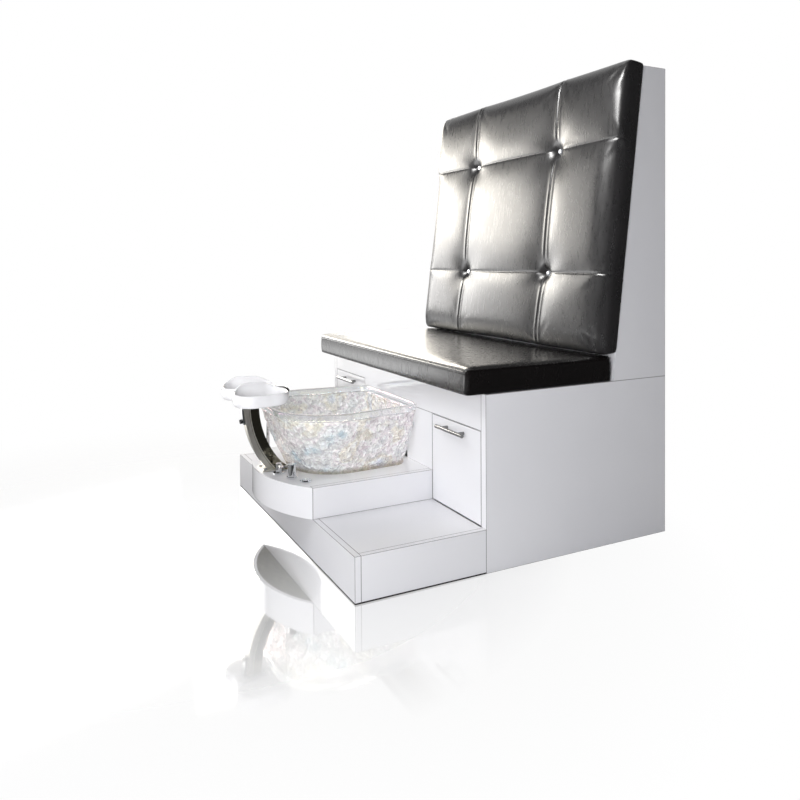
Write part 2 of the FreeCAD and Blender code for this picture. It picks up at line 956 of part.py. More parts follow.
def drain_knob():
    face = cabinet_front - running_gap - knob_height
    body = rod(knob_radius, knob_height, knob_axis(face), vec(0, 1, 0))
    shaft = rod(knob_shaft_radius, knob_shaft_length, knob_axis(face + knob_height), vec(0, 1, 0))
    grip = block(
        (knob_across - knob_grip_width / 2, knob_across + knob_grip_width / 2),
        (face - knob_grip_height, face),
        (knob_level - knob_radius + reveal, knob_level + knob_radius - reveal),
    )
    return body.fuse(shaft).fuse(grip).removeSplitter()


# Footrest arm. Angles are measured down from level, about the centre of the arc.
def arc_bar(inner, outer, width, first_angle, last_angle):
    corners = [
        vec(-width / 2, arm_centre_back - inner, arm_centre_level),
        vec(width / 2, arm_centre_back - inner, arm_centre_level),
        vec(width / 2, arm_centre_back - outer, arm_centre_level),
        vec(-width / 2, arm_centre_back - outer, arm_centre_level),
    ]
    face = Part.Face(Part.makePolygon(corners + [corners[0]]))
    centre = vec(0, arm_centre_back, arm_centre_level)
    face.rotate(centre, vec(1, 0, 0), first_angle)
    return face.revolve(centre, vec(1, 0, 0), last_angle - first_angle)


def arm_level_angle(level, radius):
    return math.degrees(math.asin((arm_centre_level - level) / radius))


def arm_screw_places():
    across = arm_plate_width / 2 - arm_screw_inset
    front = arm_screw_inset - arm_plate_front
    back = arm_plate_back - arm_screw_inset
    return [(side * across, depth) for side in (-1, 1) for depth in (front, back)]


def footrest_arm():
    plate_top = platform_top + arm_plate_thickness
    beyond = math.degrees(overrun / arm_inner_radius)
    steepest = arm_level_angle(platform_top, arm_inner_radius) + beyond
    bar = arc_bar(arm_inner_radius, arm_outer_radius, arm_width, 0, steepest)
    reach = arm_outer_radius + overrun
    room = block(
        (-arm_width, arm_width),
        (arm_centre_back - reach, arm_centre_back),
        (platform_top, arm_top_level),
    )
    plate = block(
        (-arm_plate_width / 2, arm_plate_width / 2),
        (-arm_plate_front, arm_plate_back),
        (platform_top, plate_top),
    )
    shape = bar.common(room).fuse(plate)
    for x, y in arm_screw_places():
        shape = shape.cut(post(arm_screw_radius, x, y, platform_top - overrun, plate_top + overrun))
    slack = math.degrees(arm_slot_width / 2 / arm_outer_radius)
    slot_inner = arm_outer_radius - arm_slot_depth
    slot = arc_bar(
        slot_inner, reach, arm_slot_width,
        lock_angle - footrest_travel - slack, lock_angle + slack,
    )
    return shape.cut(slot).removeSplitter()


def arm_fixings():
    """Four screws through the arm's plate and the deck, each with its nut."""
    plate_top = platform_top + arm_plate_thickness
    nut_low = deck_bottom - arm_nut_height
    fixings = []
    for x, y in arm_screw_places():
        head = sided_post(
            arm_screw_head_radius, x, y, plate_top, plate_top + arm_screw_head_height, hex_sides
        )
        shank = post(arm_screw_radius, x, y, nut_low, plate_top)
        nut = sided_post(arm_nut_radius, x, y, nut_low, deck_bottom, hex_sides)
        fixings.append(head.fuse(shank).fuse(nut).removeSplitter())
    return Part.makeCompound(fixings)


# Footrest
def bracket_cap_bottom():
    return arm_top_level + running_gap


def cup_bottom():
    return bracket_cap_bottom() + bracket_cap_thickness + bracket_post_height


def bracket_middle():
    return arm_centre_back - arm_outer_radius + arm_bar_depth / 2


def radial_direction(angle):
    turn = math.radians(angle)
    return vec(0, -math.cos(turn), -math.sin(turn))


def lock_point(radius):
    return vec(0, arm_centre_back, arm_centre_level) + radial_direction(lock_angle) * radius


def footrest_bracket():
    inner = arm_outer_radius + running_gap
    outer = inner + bracket_sheet
    top_angle = arm_level_angle(bracket_cap_bottom() + bracket_cap_thickness, inner)
    strip = arc_bar(inner, outer, bracket_width, top_angle, bracket_drop_angle)
    front = arm_centre_back - outer
    low = bracket_cap_bottom()
    cap = block(
        (-bracket_cap_width / 2, bracket_cap_width / 2),
        (front, front + bracket_cap_depth),
        (low, low + bracket_cap_thickness),
    )
    column = post(bracket_post_radius, 0, bracket_middle(), low, cup_bottom())
    hole = rod(
        lock_stud_radius + shaft_gap, bracket_sheet + 2 * overrun,
        lock_point(inner - overrun), radial_direction(lock_angle),
    )
    return strip.fuse(cap).fuse(column).cut(hole).removeSplitter()


def footrest_lock_screw():
    face = arm_outer_radius + 2 * running_gap + bracket_sheet
    tip = arm_outer_radius - arm_slot_depth + reveal
    direction = radial_direction(lock_angle)
    head = rod(lock_head_radius, lock_head_height, lock_point(face), direction)
    stud = rod(lock_stud_radius, face - tip, lock_point(tip), direction)
    return head.fuse(stud).removeSplitter()


def cup_outline(centre, inset, level):
    half = cup_width / 2 - inset
    front = -footrest_reach + inset
    back = -footrest_reach + cup_length - inset
    points = [
        vec(centre + half, back, level),
        vec(centre + half, front, level),
        vec(centre - half, front, level),
        vec(centre - half, back, level),
    ]
    return stepped_outline(points, [cup_corner - inset] * len(points), [cup_corner_steps] * len(points))


def cup_form(centre, inset, low, foot_levels, foot_insets):
    """Cup with a foot drawn in by steps, taller than needed, before its rim is trimmed."""
    high = cup_bottom() + cup_hood_height + overrun
    outlines = []
    for rise, foot_inset in zip(foot_levels, foot_insets):
        outlines.append(cup_outline(centre, inset + foot_inset, low + rise))
    outlines.append(cup_outline(centre, inset, high))
    return skinned(outlines)


def above_cup_rim():
    """Everything above the rim line, which is level at the back and rises to a hood in front."""
    low = cup_bottom() + cup_side_height
    high = cup_bottom() + cup_hood_height
    front = -footrest_reach
    turn = front + cup_length * cup_hood_share
    back = front + cup_length + overrun
    sky = high + 2 * overrun
    across = (cup_spacing + cup_width) / 2 + overrun
    rise = high - low
    run = turn - front
    radius = (rise ** 2 + run ** 2) / (2 * rise)
    half_angle = math.atan2(run, radius - rise) / 2
    middle = vec(-across, turn - radius * math.sin(half_angle), low + radius * (1 - math.cos(half_angle)))
    beyond = vec(-across, front - overrun, high)
    edges = [
        Part.LineSegment(vec(-across, back, low), vec(-across, turn, low)).toShape(),
        Part.Arc(vec(-across, turn, low), middle, vec(-across, front, high)).toShape(),
        Part.LineSegment(vec(-across, front, high), beyond).toShape(),
        Part.LineSegment(beyond, vec(-across, front - overrun, sky)).toShape(),
        Part.LineSegment(vec(-across, front - overrun, sky), vec(-across, back, sky)).toShape(),
        Part.LineSegment(vec(-across, back, sky), vec(-across, back, low)).toShape(),
    ]
    return Part.Face(Part.Wire(edges)).extrude(vec(2 * across, 0, 0))


def footrest_cups():
    """Two dished foot cups moulded in one piece, joined by a short bridge."""
    middle = bracket_middle()
    solid = block(
        (-cup_bridge_width / 2, cup_bridge_width / 2),
        (middle - cup_bridge_length / 2, middle + cup_bridge_length / 2),
        (cup_bottom(), cup_bottom() + cup_bridge_height),
    )
    low = cup_bottom()
    for side in (-1, 1):
        centre = side * cup_spacing / 2
        solid = solid.fuse(cup_form(centre, 0, low, cup_foot_levels, cup_foot_insets))
    for side in (-1, 1):
        centre = side * cup_spacing / 2
        dish = cup_form(centre, cup_wall, low + cup_floor, cup_dish_levels, cup_dish_insets)
        solid = solid.cut(dish)
    return solid.cut(above_cup_rim()).removeSplitter()


# Water fittings
def shank(radius, x, y, low):
    """Six-sided part of a fitting below the top of the deck."""
    return sided_post(radius, x, y, low, platform_top, hex_sides)


def tap_body(side):
    across, depth = ring_point(tap_across, fitting_inset)
    x = side * across
    body = shank(tap_body_radius, x, depth, platform_top - tap_body_drop)
    collar_top = platform_top + tap_collar_height
    collar = sided_post(tap_collar_radius, x, depth, platform_top, collar_top, hex_sides)
    neck = post(tap_neck_radius, x, depth, platform_top, platform_top + tap_neck_height)
    neck_top = platform_top + tap_neck_height
    stem = post(tap_stem_radius, x, depth, neck_top, neck_top + tap_stem_height)
    return body.fuse(collar).fuse(neck).fuse(stem).removeSplitter()


def tap_bodies():
    return Part.makeCompound([tap_body(-1), tap_body(1)])


def tap_handle(side):
    """Lever handle: a hub with one flat lever that points outwards."""
    across, depth = ring_point(tap_across, fitting_inset)
    x = side * across
    low = platform_top + tap_neck_height + running_gap
    hub = post(tap_hub_radius, x, depth, low, low + tap_hub_height)
    lever_high = low + tap_hub_height - tap_lever_drop
    lever = block(
        sorted((x, x + side * tap_lever_reach)),
        (depth - tap_lever_width / 2, depth + tap_lever_width / 2),
        (lever_high - tap_lever_thickness, lever_high),
    )
    bore_top = platform_top + tap_neck_height + tap_stem_height + running_gap
    bore = post(tap_stem_radius + shaft_gap, x, depth, low - overrun, bore_top)
    return hub.fuse(lever).cut(bore).removeSplitter()


def supply_pipes():
    """Hot and cold pipes from the taps to the service opening, each with a threaded end."""
    across, depth = ring_point(tap_across, fitting_inset)
    end = total_depth - inlet_end_gap
    pipes = []
    for side in (-1, 1):
        start = vec(side * across, depth, pipe_level)
        pipe = rod(pipe_radius, end - depth, start, vec(0, 1, 0))
        thread_start = vec(side * across, end - inlet_thread_length, pipe_level)
        thread = rod(inlet_thread_radius, inlet_thread_length, thread_start, vec(0, 1, 0))
        bore = rod(pipe_radius - pipe_wall, end - depth + overrun, start, vec(0, 1, 0))
        low = platform_top - tap_body_drop - overrun
        body = shank(tap_body_radius, side * across, depth, low)
        pipes.append(pipe.fuse(thread).cut(bore).cut(body))
    return Part.makeCompound(pipes)


def water_manifold():
    """Straight pipes under the deck that join the spout, both taps and the hand spray."""
    spray_across, spray_depth = ring_point(sprayer_across, fitting_inset)
    tap_x, tap_depth = ring_point(tap_across, fitting_inset)
    stations = [
        (-spout_across, spout_place, spout_tail_radius),
        (-tap_x, tap_depth, tap_body_radius),
        (tap_x, tap_depth, tap_body_radius),
        (spray_across, spray_depth, holder_radius - reveal),
    ]
    low = pipe_level - 2 * pipe_radius
    fittings = Part.makeCompound([shank(radius, x, y, low) for x, y, radius in stations])
    pipes = []
    for (x, y, _), (next_x, next_y, _) in zip(stations, stations[1:]):
        start = vec(x, y, pipe_level)
        run = vec(next_x, next_y, pipe_level) - start
        pipes.append(rod(pipe_radius, run.Length, start, run).cut(fittings))
    return Part.makeCompound(pipes)


def sprayer_holder():
    x, y = ring_point(sprayer_across, fitting_inset)
    top = platform_top + holder_height
    body = shank(holder_radius - reveal, x, y, platform_top - tap_body_drop)
    collar = post(holder_radius, x, y, platform_top, top)
    bore_low = top - sprayer_neck_length - running_gap
    bore = post(sprayer_neck_radius + running_gap, x, y, bore_low, top + overrun)
    return body.fuse(collar).cut(bore).removeSplitter()


def sprayer_head():
    x, y = ring_point(sprayer_across, fitting_inset)
    low = platform_top + holder_height + running_gap
    head = post(sprayer_radius, x, y, low, low + sprayer_height)
    neck = post(sprayer_neck_radius, x, y, low - sprayer_neck_length + running_gap, low)
    return head.fuse(neck).removeSplitter()


def air_ring():
    x, y = ring_point(air_button_across, fitting_inset)
    top = platform_top + air_ring_height
    body = shank(air_body_radius, x, y, platform_top - air_body_length)
    collar = post(air_ring_radius, x, y, platform_top, top)
    pocket_low = air_button_low() - air_button_travel - running_gap
    pocket = post(air_button_radius + running_gap, x, y, pocket_low, top + overrun)
    return body.fuse(collar).cut(pocket).removeSplitter()


def air_button_low():
    return platform_top + air_ring_height + air_button_proud - air_button_height


def air_button():
    x, y = ring_point(air_button_across, fitting_inset)
    low = air_button_low()
    return post(air_button_radius, x, y, low, low + air_button_height)


def spout_foot_level():
    return platform_top + spout_base_height - spout_socket_depth + running_gap


def spout_base():
    x = -spout_across
    y = spout_place
    top = platform_top + spout_base_height
    tail = shank(spout_tail_radius, x, y, platform_top - spout_tail_drop)
    neck = post(spout_tail_radius, x, y, platform_top, top)
    flange = post(spout_base_radius, x, y, platform_top, platform_top + spout_flange_height)
    socket_low = top - spout_socket_depth
    socket = post(spout_radius + shaft_gap, x, y, socket_low, top + overrun)
    return tail.fuse(flange).fuse(neck).cut(socket).removeSplitter()


def bend_points(corner, before, after):
    """Points of a bend about a corner, between the directions it comes from and goes to."""
    centre = corner + (before + after) * spout_bend
    points = []
    for step in range(spout_bend_steps + 1):
        angle = math.pi / 2 * step / spout_bend_steps
        points.append(centre - after * spout_bend * math.cos(angle) - before * spout_bend * math.sin(angle))
    return points


def spout():
    """Pipe up the riser, across to the bowl and down to the tip, bored where it shows."""
    level = spout_top_level - spout_radius
    turn = math.radians(spout_turn)
    along = vec(math.cos(turn), math.sin(turn), 0)
    up = vec(0, 0, 1)
    foot = vec(-spout_across, spout_place, spout_foot_level())
    knee = vec(-spout_across, spout_place, level)
    elbow = knee + along * spout_reach
    points = [foot] + bend_points(knee, -up, along) + bend_points(elbow, -along, -up)
    tip = points[-1] - up * spout_tip_length
    outer = mitred_pipe(points + [tip], spout_radius)
    bore = rod(spout_bore, spout_tip_length + overrun, tip - up * overrun, up)
    return outer.cut(bore)


def all_pieces():
    pieces = {
        "cabinet_right_side": cabinet_side(),
        "cabinet_left_side": mirrored(cabinet_side()),
        "cabinet_back_panel": cabinet_back_panel(),
        "cabinet_floor": cabinet_floor(),
        "seat_deck": seat_deck(),
        "front_header": front_header(),
        "front_centre_panel": front_centre_panel(),
        "right_partition": partition(),
        "left_partition": mirrored(partition()),
        "step_front_fascia": step_front_fascia(),
        "step_right_side": step_side(),
        "step_left_side": mirrored(step_side()),
        "step_tread": step_tread(),
        "platform_deck": platform_deck(),
        "platform_curved_fascia": platform_curved_fascia(),
        "platform_right_side": platform_side(),
        "platform_left_side": mirrored(platform_side()),
        "platform_soffit": platform_soffit(),
        "back_right_cheek": back_cheek(),
        "back_left_cheek": mirrored(back_cheek()),
        "back_top_cap": back_top_cap(),
        "back_front_board": back_front_board(),
        "back_rear_board": back_rear_board(),
        "seat_cushion_board": seat_cushion_board(),
        "seat_cushion": seat_cushion(),
        "back_cushion_board": back_cushion_board(),
        "back_cushion": back_cushion(),
        "tuft_buttons": tuft_buttons(),
        "slide_rails": slide_rails(),
        "bowl": bowl(),
        "drain_flange": drain_flange(),
        "drain_stopper": drain_stopper(),
        "drain_trap": drain_trap(),
        "waste_pipe": waste_pipe(),
        "drain_knob_ring": drain_knob_ring(),
        "drain_knob": drain_knob(),
        "footrest_arm": footrest_arm(),
        "arm_fixings": arm_fixings(),
        "footrest_bracket": footrest_bracket(),
        "footrest_lock_screw": footrest_lock_screw(),
        "footrest_cups": footrest_cups(),
        "tap_bodies": tap_bodies(),
        "hot_handle": tap_handle(-1),
        "cold_handle": tap_handle(1),
        "supply_pipes": supply_pipes(),
        "water_manifold": water_manifold(),
        "sprayer_holder": sprayer_holder(),
        "sprayer_head": sprayer_head(),
        "air_button_ring": air_ring(),
        "air_button": air_button(),
        "spout_base": spout_base(),
        "spout": spout(),
    }
    tops = {"right": right_drawer_top, "left": left_drawer_top}
    for side, top in tops.items():
        drawer = {
            "drawer_front": drawer_front(top),
            "drawer_box": drawer_box(top),
            "drawer_slides": moving_slides(),
            "drawer_handle": drawer_handle(top),
        }
        for name, shape in drawer.items():
            pieces[side + "_" + name] = mirrored(shape) if side == "left" else shape
    return pieces


os.makedirs("parts", exist_ok=True)
pieces = all_pieces()
for name, shape in pieces.items():
    shape.translate(vec(0, -middle_of_depth, 0))
    shape.exportStep("parts/" + name + ".step")
print(len(pieces), "pieces written")
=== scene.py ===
import bpy
import bmesh
import math
from mathutils import Matrix, Vector, noise


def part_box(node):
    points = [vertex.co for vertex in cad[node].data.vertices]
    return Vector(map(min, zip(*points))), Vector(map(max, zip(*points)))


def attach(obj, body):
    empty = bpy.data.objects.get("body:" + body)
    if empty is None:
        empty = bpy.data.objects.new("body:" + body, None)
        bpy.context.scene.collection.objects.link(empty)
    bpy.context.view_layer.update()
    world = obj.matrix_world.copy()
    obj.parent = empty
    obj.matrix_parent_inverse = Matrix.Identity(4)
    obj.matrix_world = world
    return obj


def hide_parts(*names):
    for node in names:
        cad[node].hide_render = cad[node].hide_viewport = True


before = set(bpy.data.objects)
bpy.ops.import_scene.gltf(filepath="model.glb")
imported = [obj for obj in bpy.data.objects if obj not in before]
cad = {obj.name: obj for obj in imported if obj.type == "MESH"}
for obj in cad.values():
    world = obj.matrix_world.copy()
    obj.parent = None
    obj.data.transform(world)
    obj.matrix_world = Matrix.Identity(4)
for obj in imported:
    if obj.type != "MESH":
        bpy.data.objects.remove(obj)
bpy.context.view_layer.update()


# Camera. It stands to the right of the bench's front corner, about as high as the seat back's
# middle, and looks level across it.
camera_place = (2.3499, -1.2188, 0.9059)
camera_data = bpy.data.cameras.new("camera")
camera_data.sensor_width = 36.0
camera_data.lens = 33.27
camera_data.shift_x = -0.01065
camera_data.shift_y = -0.15944
camera_data.clip_end = 60.0
camera = bpy.data.objects.new("camera", camera_data)
camera_turn = Matrix.Rotation(math.radians(62.548), 4, "Z")
camera_tilt = Matrix.Rotation(math.radians(90.0 - 1.043), 4, "X")
camera_roll = Matrix.Rotation(math.radians(-0.32), 4, "Z")
camera.matrix_world = Matrix.Translation(camera_place) @ camera_turn @ camera_tilt @ camera_roll
bpy.context.scene.collection.objects.link(camera)
bpy.context.scene.camera = camera
bpy.context.scene.view_settings.view_transform = "Standard"


# Studio. The surround is white to the eye and through the glass, and dim to everything else. To
# a gloss surface it is brighter on the left, and white behind the bench on that side.
def add_node(tree, kind, links=(), settings=(), **values):
    """Node with its own values, its linked inputs and its set inputs."""
    node = tree.nodes.new(kind)
    for key, value in values.items():
        setattr(node, key, value)
    for key, value in settings:
        node.inputs[key].default_value = value
    for key, source in links:
        tree.links.new(source, node.inputs[key])
    return node


def feed(tree, target, source):
    """Link a socket to an input, or set the input to a number or a colour."""
    if isinstance(source, bpy.types.NodeSocket):
        tree.links.new(source, target)
    else:
        target.default_value = (*source, 1.0) if isinstance(source, tuple) else source


def combine(tree, operation, first, second=0.0):
    """Two values, each linked or given, taken together by one operation."""
    node = add_node(tree, "ShaderNodeMath", operation=operation)
    feed(tree, node.inputs[0], first)
    feed(tree, node.inputs[1], second)
    return node.outputs[0]


def span(tree, source, low, high, first, last):
    """Straight ramp over a value, level past both of its ends."""
    ends = (("From Min", low), ("From Max", high), ("To Min", first), ("To Max", last))
    return add_node(tree, "ShaderNodeMapRange", (("Value", source),), ends).outputs[0]


def blend(tree, share, first, second, data_type="RGBA"):
    """Mix of two colours or two values, each linked or given."""
    mix = add_node(tree, "ShaderNodeMix", (("Factor", share),), data_type=data_type)
    feed(tree, mix.inputs["A"], first)
    feed(tree, mix.inputs["B"], second)
    return mix.outputs["Result"]


def mix_shaders(tree, share, first, second):
    sides = (("Fac", share), (1, first.outputs[0]), (2, second.outputs[0]))
    return add_node(tree, "ShaderNodeMixShader", sides)


world = bpy.data.worlds.new("studio")
bpy.context.scene.world = world
world.use_nodes = True
world_tree = world.node_tree
world_tree.nodes.clear()
light_path = add_node(world_tree, "ShaderNodeLightPath").outputs
outlook = add_node(world_tree, "ShaderNodeTexCoord").outputs["Generated"]
look_x, look_y, look_z = add_node(world_tree, "ShaderNodeSeparateXYZ", ((0, outlook),)).outputs
dim_room = span(world_tree, look_x, -0.15, 0.65, 0.08, 0.05)
left_glow = span(world_tree, look_x, -0.55, 0.25, 0.34, 0.05)
low_glow = span(world_tree, look_z, 0.26, 0.62, 1.0, 0.30)
behind = span(world_tree, look_y, -0.24, -0.14, 0.0, 1.0)
beside = span(world_tree, look_x, -0.45, -0.10, 1.0, 0.0)
gloss_room = combine(
    world_tree,
    "MAXIMUM",
    combine(world_tree, "MULTIPLY", left_glow, low_glow),
    combine(world_tree, "MULTIPLY", behind, beside),
)
room = blend(world_tree, light_path["Is Glossy Ray"], dim_room, gloss_room, "FLOAT")
white_seen = combine(
    world_tree, "MAXIMUM", light_path["Is Camera Ray"], light_path["Is Transmission Ray"]
)
surround_strength = blend(world_tree, white_seen, room, 1.0, "FLOAT")
surround = add_node(
    world_tree,
    "ShaderNodeBackground",
    (("Strength", surround_strength),),
    (("Color", (1.0, 1.0, 1.0, 1.0)),),
)
add_node(world_tree, "ShaderNodeOutputWorld", (("Surface", surround.outputs[0]),))


# Lamps. Warm soft boxes stand on the left, where the leather mirrors them, and cool fills that
# no gloss surface mirrors light the white boards from the right, from in front and from above.
def soft_box(name, place, target, width, height, power, colour):
    light = bpy.data.lights.new(name, "AREA")
    light.shape = "RECTANGLE"
    light.size = width
    light.size_y = height
    light.energy = power
    light.color = colour
    lamp = bpy.data.objects.new(name, light)
    lamp.location = place
    aim = Vector(target) - Vector(place)
    lamp.rotation_euler = aim.to_track_quat("-Z", "Y").to_euler()
    bpy.context.scene.collection.objects.link(lamp)
    return lamp


warm = (1.0, 0.955, 0.87)
warmer = (1.0, 0.92, 0.79)
faintly_warm = (1.0, 0.985, 0.97)
cool = (0.985, 0.988, 1.0)
before_back = (-0.1, 0.3, 1.1)
back_right_edge = (0.55, 0.45, 1.4)
seat_middle = (0.0, 0.1, 0.6)
soft_box("key_light", (-3.2, -0.9, 1.8), before_back, 1.5, 0.7, 49.0, warm)
key_low = soft_box("key_low", (-3.2, -0.9, 1.1), before_back, 1.5, 0.7, 23.0, faintly_warm)
soft_box("key_front", (-2.9, -2.0, 2.0), before_back, 0.9, 1.2, 8.5, (1.0, 0.98, 0.96))
soft_box("key_rear", (-3.4, 0.4, 1.9), before_back, 1.0, 1.2, 8.0, warmer)
soft_box("back_light", (-3.2, 1.7, 2.1), seat_middle, 1.3, 0.8, 47.0, warmer)
soft_box("back_low", (-3.4, 1.55, 1.15), seat_middle, 1.3, 1.0, 5.0, warm)
for name, place, target, width, height, power in (
    ("front_light", (2.3, -2.0, 0.9), (0.3, -0.3, 0.25), 1.8, 1.2, 56.0),
    ("side_light", (3.4, 0.6, 1.3), (0.5, 0.3, 0.5), 1.4, 1.4, 6.2),
    ("top_light", (0.4, -1.0, 3.2), (0.2, -0.3, 0.3), 1.4, 1.4, 6.0),
    ("over_light", (-0.3, -2.0, 3.0), back_right_edge, 1.5, 1.5, 38.0),
):
    fill = soft_box(name, place, target, width, height, power, cool)
    fill.visible_glossy = False
edge_light = soft_box(
    "edge_light", (-0.3, -2.0, 3.0), back_right_edge, 0.5, 0.7, 110.0, (1.0, 0.99, 0.98)
)
for gloss_only in (key_low, edge_light):
    gloss_only.visible_diffuse = False


# Floor. A pale polished floor that mirrors the bench near its foot, when it is seen at a slant,
# and fades to white. The gloss surfaces see it as a bright pool on the left, in front.
floor_mesh = bpy.data.meshes.new("floor")
floor_bm = bmesh.new()
bmesh.ops.create_grid(floor_bm, x_segments=1, y_segments=1, size=14.0)
floor_bm.to_mesh(floor_mesh)
floor_bm.free()
floor = bpy.data.objects.new("floor", floor_mesh)
bpy.context.scene.collection.objects.link(floor)
floor_material = bpy.data.materials.new("pale_floor")
floor_material.use_nodes = True
floor_tree = floor_material.node_tree
floor_tree.nodes.clear()
floor_path = add_node(floor_tree, "ShaderNodeLightPath").outputs
floor_place = add_node(floor_tree, "ShaderNodeTexCoord").outputs["Object"]
floor_parts = add_node(floor_tree, "ShaderNodeSeparateXYZ", ((0, floor_place),)).outputs
floor_centre = add_node(
    floor_tree, "ShaderNodeMapping", (("Vector", floor_place),), (("Location", (0.15, 0.75, 0.0)),)
)
floor_reach = add_node(
    floor_tree, "ShaderNodeVectorMath", ((0, floor_centre.outputs[0]),), operation="LENGTH"
).outputs["Value"]
floor_white = span(floor_tree, floor_reach, 0.6, 1.7, 0.80, 1.0)
floor_fade = span(floor_tree, floor_reach, 0.30, 1.25, 0.86, 0.0)
pool_side = span(floor_tree, floor_parts["X"], -1.25, -0.60, 4.4, 0.30)
pool_front = span(floor_tree, floor_parts["Y"], -1.4, -0.9, 1.0, 0.15)
pool_far = span(floor_tree, floor_parts["X"], -5.6, -3.2, 0.36, 0.95)
pool = combine(
    floor_tree, "MULTIPLY", combine(floor_tree, "MULTIPLY", pool_side, pool_front), pool_far
)
floor_strength = blend(floor_tree, floor_path["Is Glossy Ray"], 1.0, pool, "FLOAT")
floor_seen = combine(
    floor_tree, "MAXIMUM", floor_path["Is Camera Ray"], floor_path["Is Transmission Ray"]
)
floor_glows = combine(
    floor_tree,
    "MAXIMUM",
    combine(floor_tree, "MULTIPLY", floor_seen, floor_white),
    floor_path["Is Glossy Ray"],
)
floor_slant = add_node(floor_tree, "ShaderNodeLayerWeight").outputs["Facing"]
floor_mirrors = combine(
    floor_tree,
    "MULTIPLY",
    combine(floor_tree, "MULTIPLY", floor_fade, floor_path["Is Camera Ray"]),
    span(floor_tree, floor_slant, 0.30, 0.52, 0.0, 1.0),
)
floor_paint = add_node(
    floor_tree, "ShaderNodeBsdfDiffuse", (), (("Color", (0.74, 0.74, 0.75, 1.0)),)
)
floor_glow = add_node(
    floor_tree,
    "ShaderNodeEmission",
    (("Strength", floor_strength),),
    (("Color", (1.0, 1.0, 1.0, 1.0)),),
)
floor_gloss = add_node(
    floor_tree,
    "ShaderNodeBsdfGlossy",
    (),
    (("Color", (1.0, 1.0, 1.0, 1.0)), ("Roughness", 0.05)),
)
floor_body = mix_shaders(floor_tree, floor_glows, floor_paint, floor_glow)
floor_whole = mix_shaders(floor_tree, floor_mirrors, floor_body, floor_gloss)
add_node(floor_tree, "ShaderNodeOutputMaterial", (("Surface", floor_whole.outputs[0]),))
floor_mesh.materials.append(floor_material)


# Laminated boards. Every outer board of the cabinet, the step, the platform and the leaning back
# is particle board faced with white gloss laminate. A thin dark line shows at each sheet's edge.
def new_material(name):
    material = bpy.data.materials.new(name)
    material.use_nodes = True
    tree = material.node_tree
    return material, tree, tree.nodes["Principled BSDF"]


def object_noise(tree, scale, detail=3.0, roughness=0.5, grain=None):
    """Cloudy pattern on a piece's own coordinates, drawn out one way where it has a grain."""
    place = add_node(tree, "ShaderNodeTexCoord").outputs["Object"]
    if grain:
        drawn = add_node(tree, "ShaderNodeMapping", (("Vector", place),), (("Scale", grain),))
        place = drawn.outputs[0]
    settings = (("Scale", scale), ("Detail", detail), ("Roughness", roughness))
    return add_node(tree, "ShaderNodeTexNoise", (("Vector", place),), settings).outputs["Fac"]


def object_parts(tree):
    """The three parts of a place on a piece, in its own coordinates."""
    place = add_node(tree, "ShaderNodeTexCoord").outputs["Object"]
    return add_node(tree, "ShaderNodeSeparateXYZ", ((0, place),)).outputs


def value_range(tree, noise_value, first, last):
    """Ramp over the part of a noise's range that it mostly stays in."""
    return span(tree, noise_value, 0.3, 0.7, first, last)


def colour_range(tree, noise_value, first, second):
    return blend(tree, value_range(tree, noise_value, 0.0, 1.0), first, second)


def bump(tree, shader, height, distance, strength=1.0):
    settings = (("Distance", distance), ("Strength", strength))
    node = add_node(tree, "ShaderNodeBump", (("Height", height),), settings)
    tree.links.new(node.outputs[0], shader.inputs["Normal"])


def board_edge_mask(tree, low, high, line):
    """One along the twelve edges of a board's box, where two faces meet within the line's width."""
    parts = object_parts(tree)
    faces_near = 0.0
    for axis in range(3):
        middle = (low[axis] + high[axis]) / 2
        from_middle = combine(tree, "ABSOLUTE", combine(tree, "SUBTRACT", parts[axis], middle))
        near_face = combine(tree, "GREATER_THAN", from_middle, (high[axis] - low[axis]) / 2 - line)
        faces_near = combine(tree, "ADD", near_face, faces_near)
    return combine(tree, "GREATER_THAN", faces_near, 1.5)


laminate_line = 0.0011
# Height of the painted contact shadow at the foot of some boards.
contact_shadow_height = 0.0045
boards_with_contact_shadow = ("step_front_fascia", "step_right_side")


def laminate(board, low, high):
    material, tree, shader = new_material("laminate_" + board)
    cloud = object_noise(tree, 2.5, 2.0)
    white = colour_range(tree, cloud, (0.80, 0.80, 0.83), (0.84, 0.84, 0.865))
    finish = blend(tree, board_edge_mask(tree, low, high, laminate_line), white, (0.30, 0.29, 0.30))
    # Painted contact shadow: the lowest few millimetres of these boards are painted near black,
    # standing in for the shade where they meet the floor.
    if board in boards_with_contact_shadow:
        at_foot = combine(tree, "LESS_THAN", object_parts(tree)[2], low[2] + contact_shadow_height)
        finish = blend(tree, at_foot, finish, (0.05, 0.045, 0.045))
    tree.links.new(finish, shader.inputs["Base Color"])
    polish = object_noise(tree, 14.0, 2.0)
    tree.links.new(value_range(tree, polish, 0.04, 0.07), shader.inputs["Roughness"])
    bump(tree, shader, object_noise(tree, 30.0, 2.0), 0.0003, 0.25)
    return material


def dress(node, material):
    mesh = cad[node].data
    mesh.materials.clear()
    mesh.materials.append(material)


laminated_boards = [
    "cabinet_right_side", "cabinet_left_side", "cabinet_back_panel", "cabinet_floor", "seat_deck",
    "front_header", "front_centre_panel", "right_partition", "left_partition",
    "step_front_fascia", "step_right_side", "step_left_side", "step_tread", "platform_deck",
    "platform_curved_fascia", "platform_right_side", "platform_left_side",
    "back_right_cheek", "back_left_cheek", "back_top_cap", "back_front_board", "back_rear_board",
    "right_drawer_front", "left_drawer_front",
]
for board_name in laminated_boards:
    board_low, board_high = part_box(board_name)
    dress(board_name, laminate(board_name, board_low, board_high))
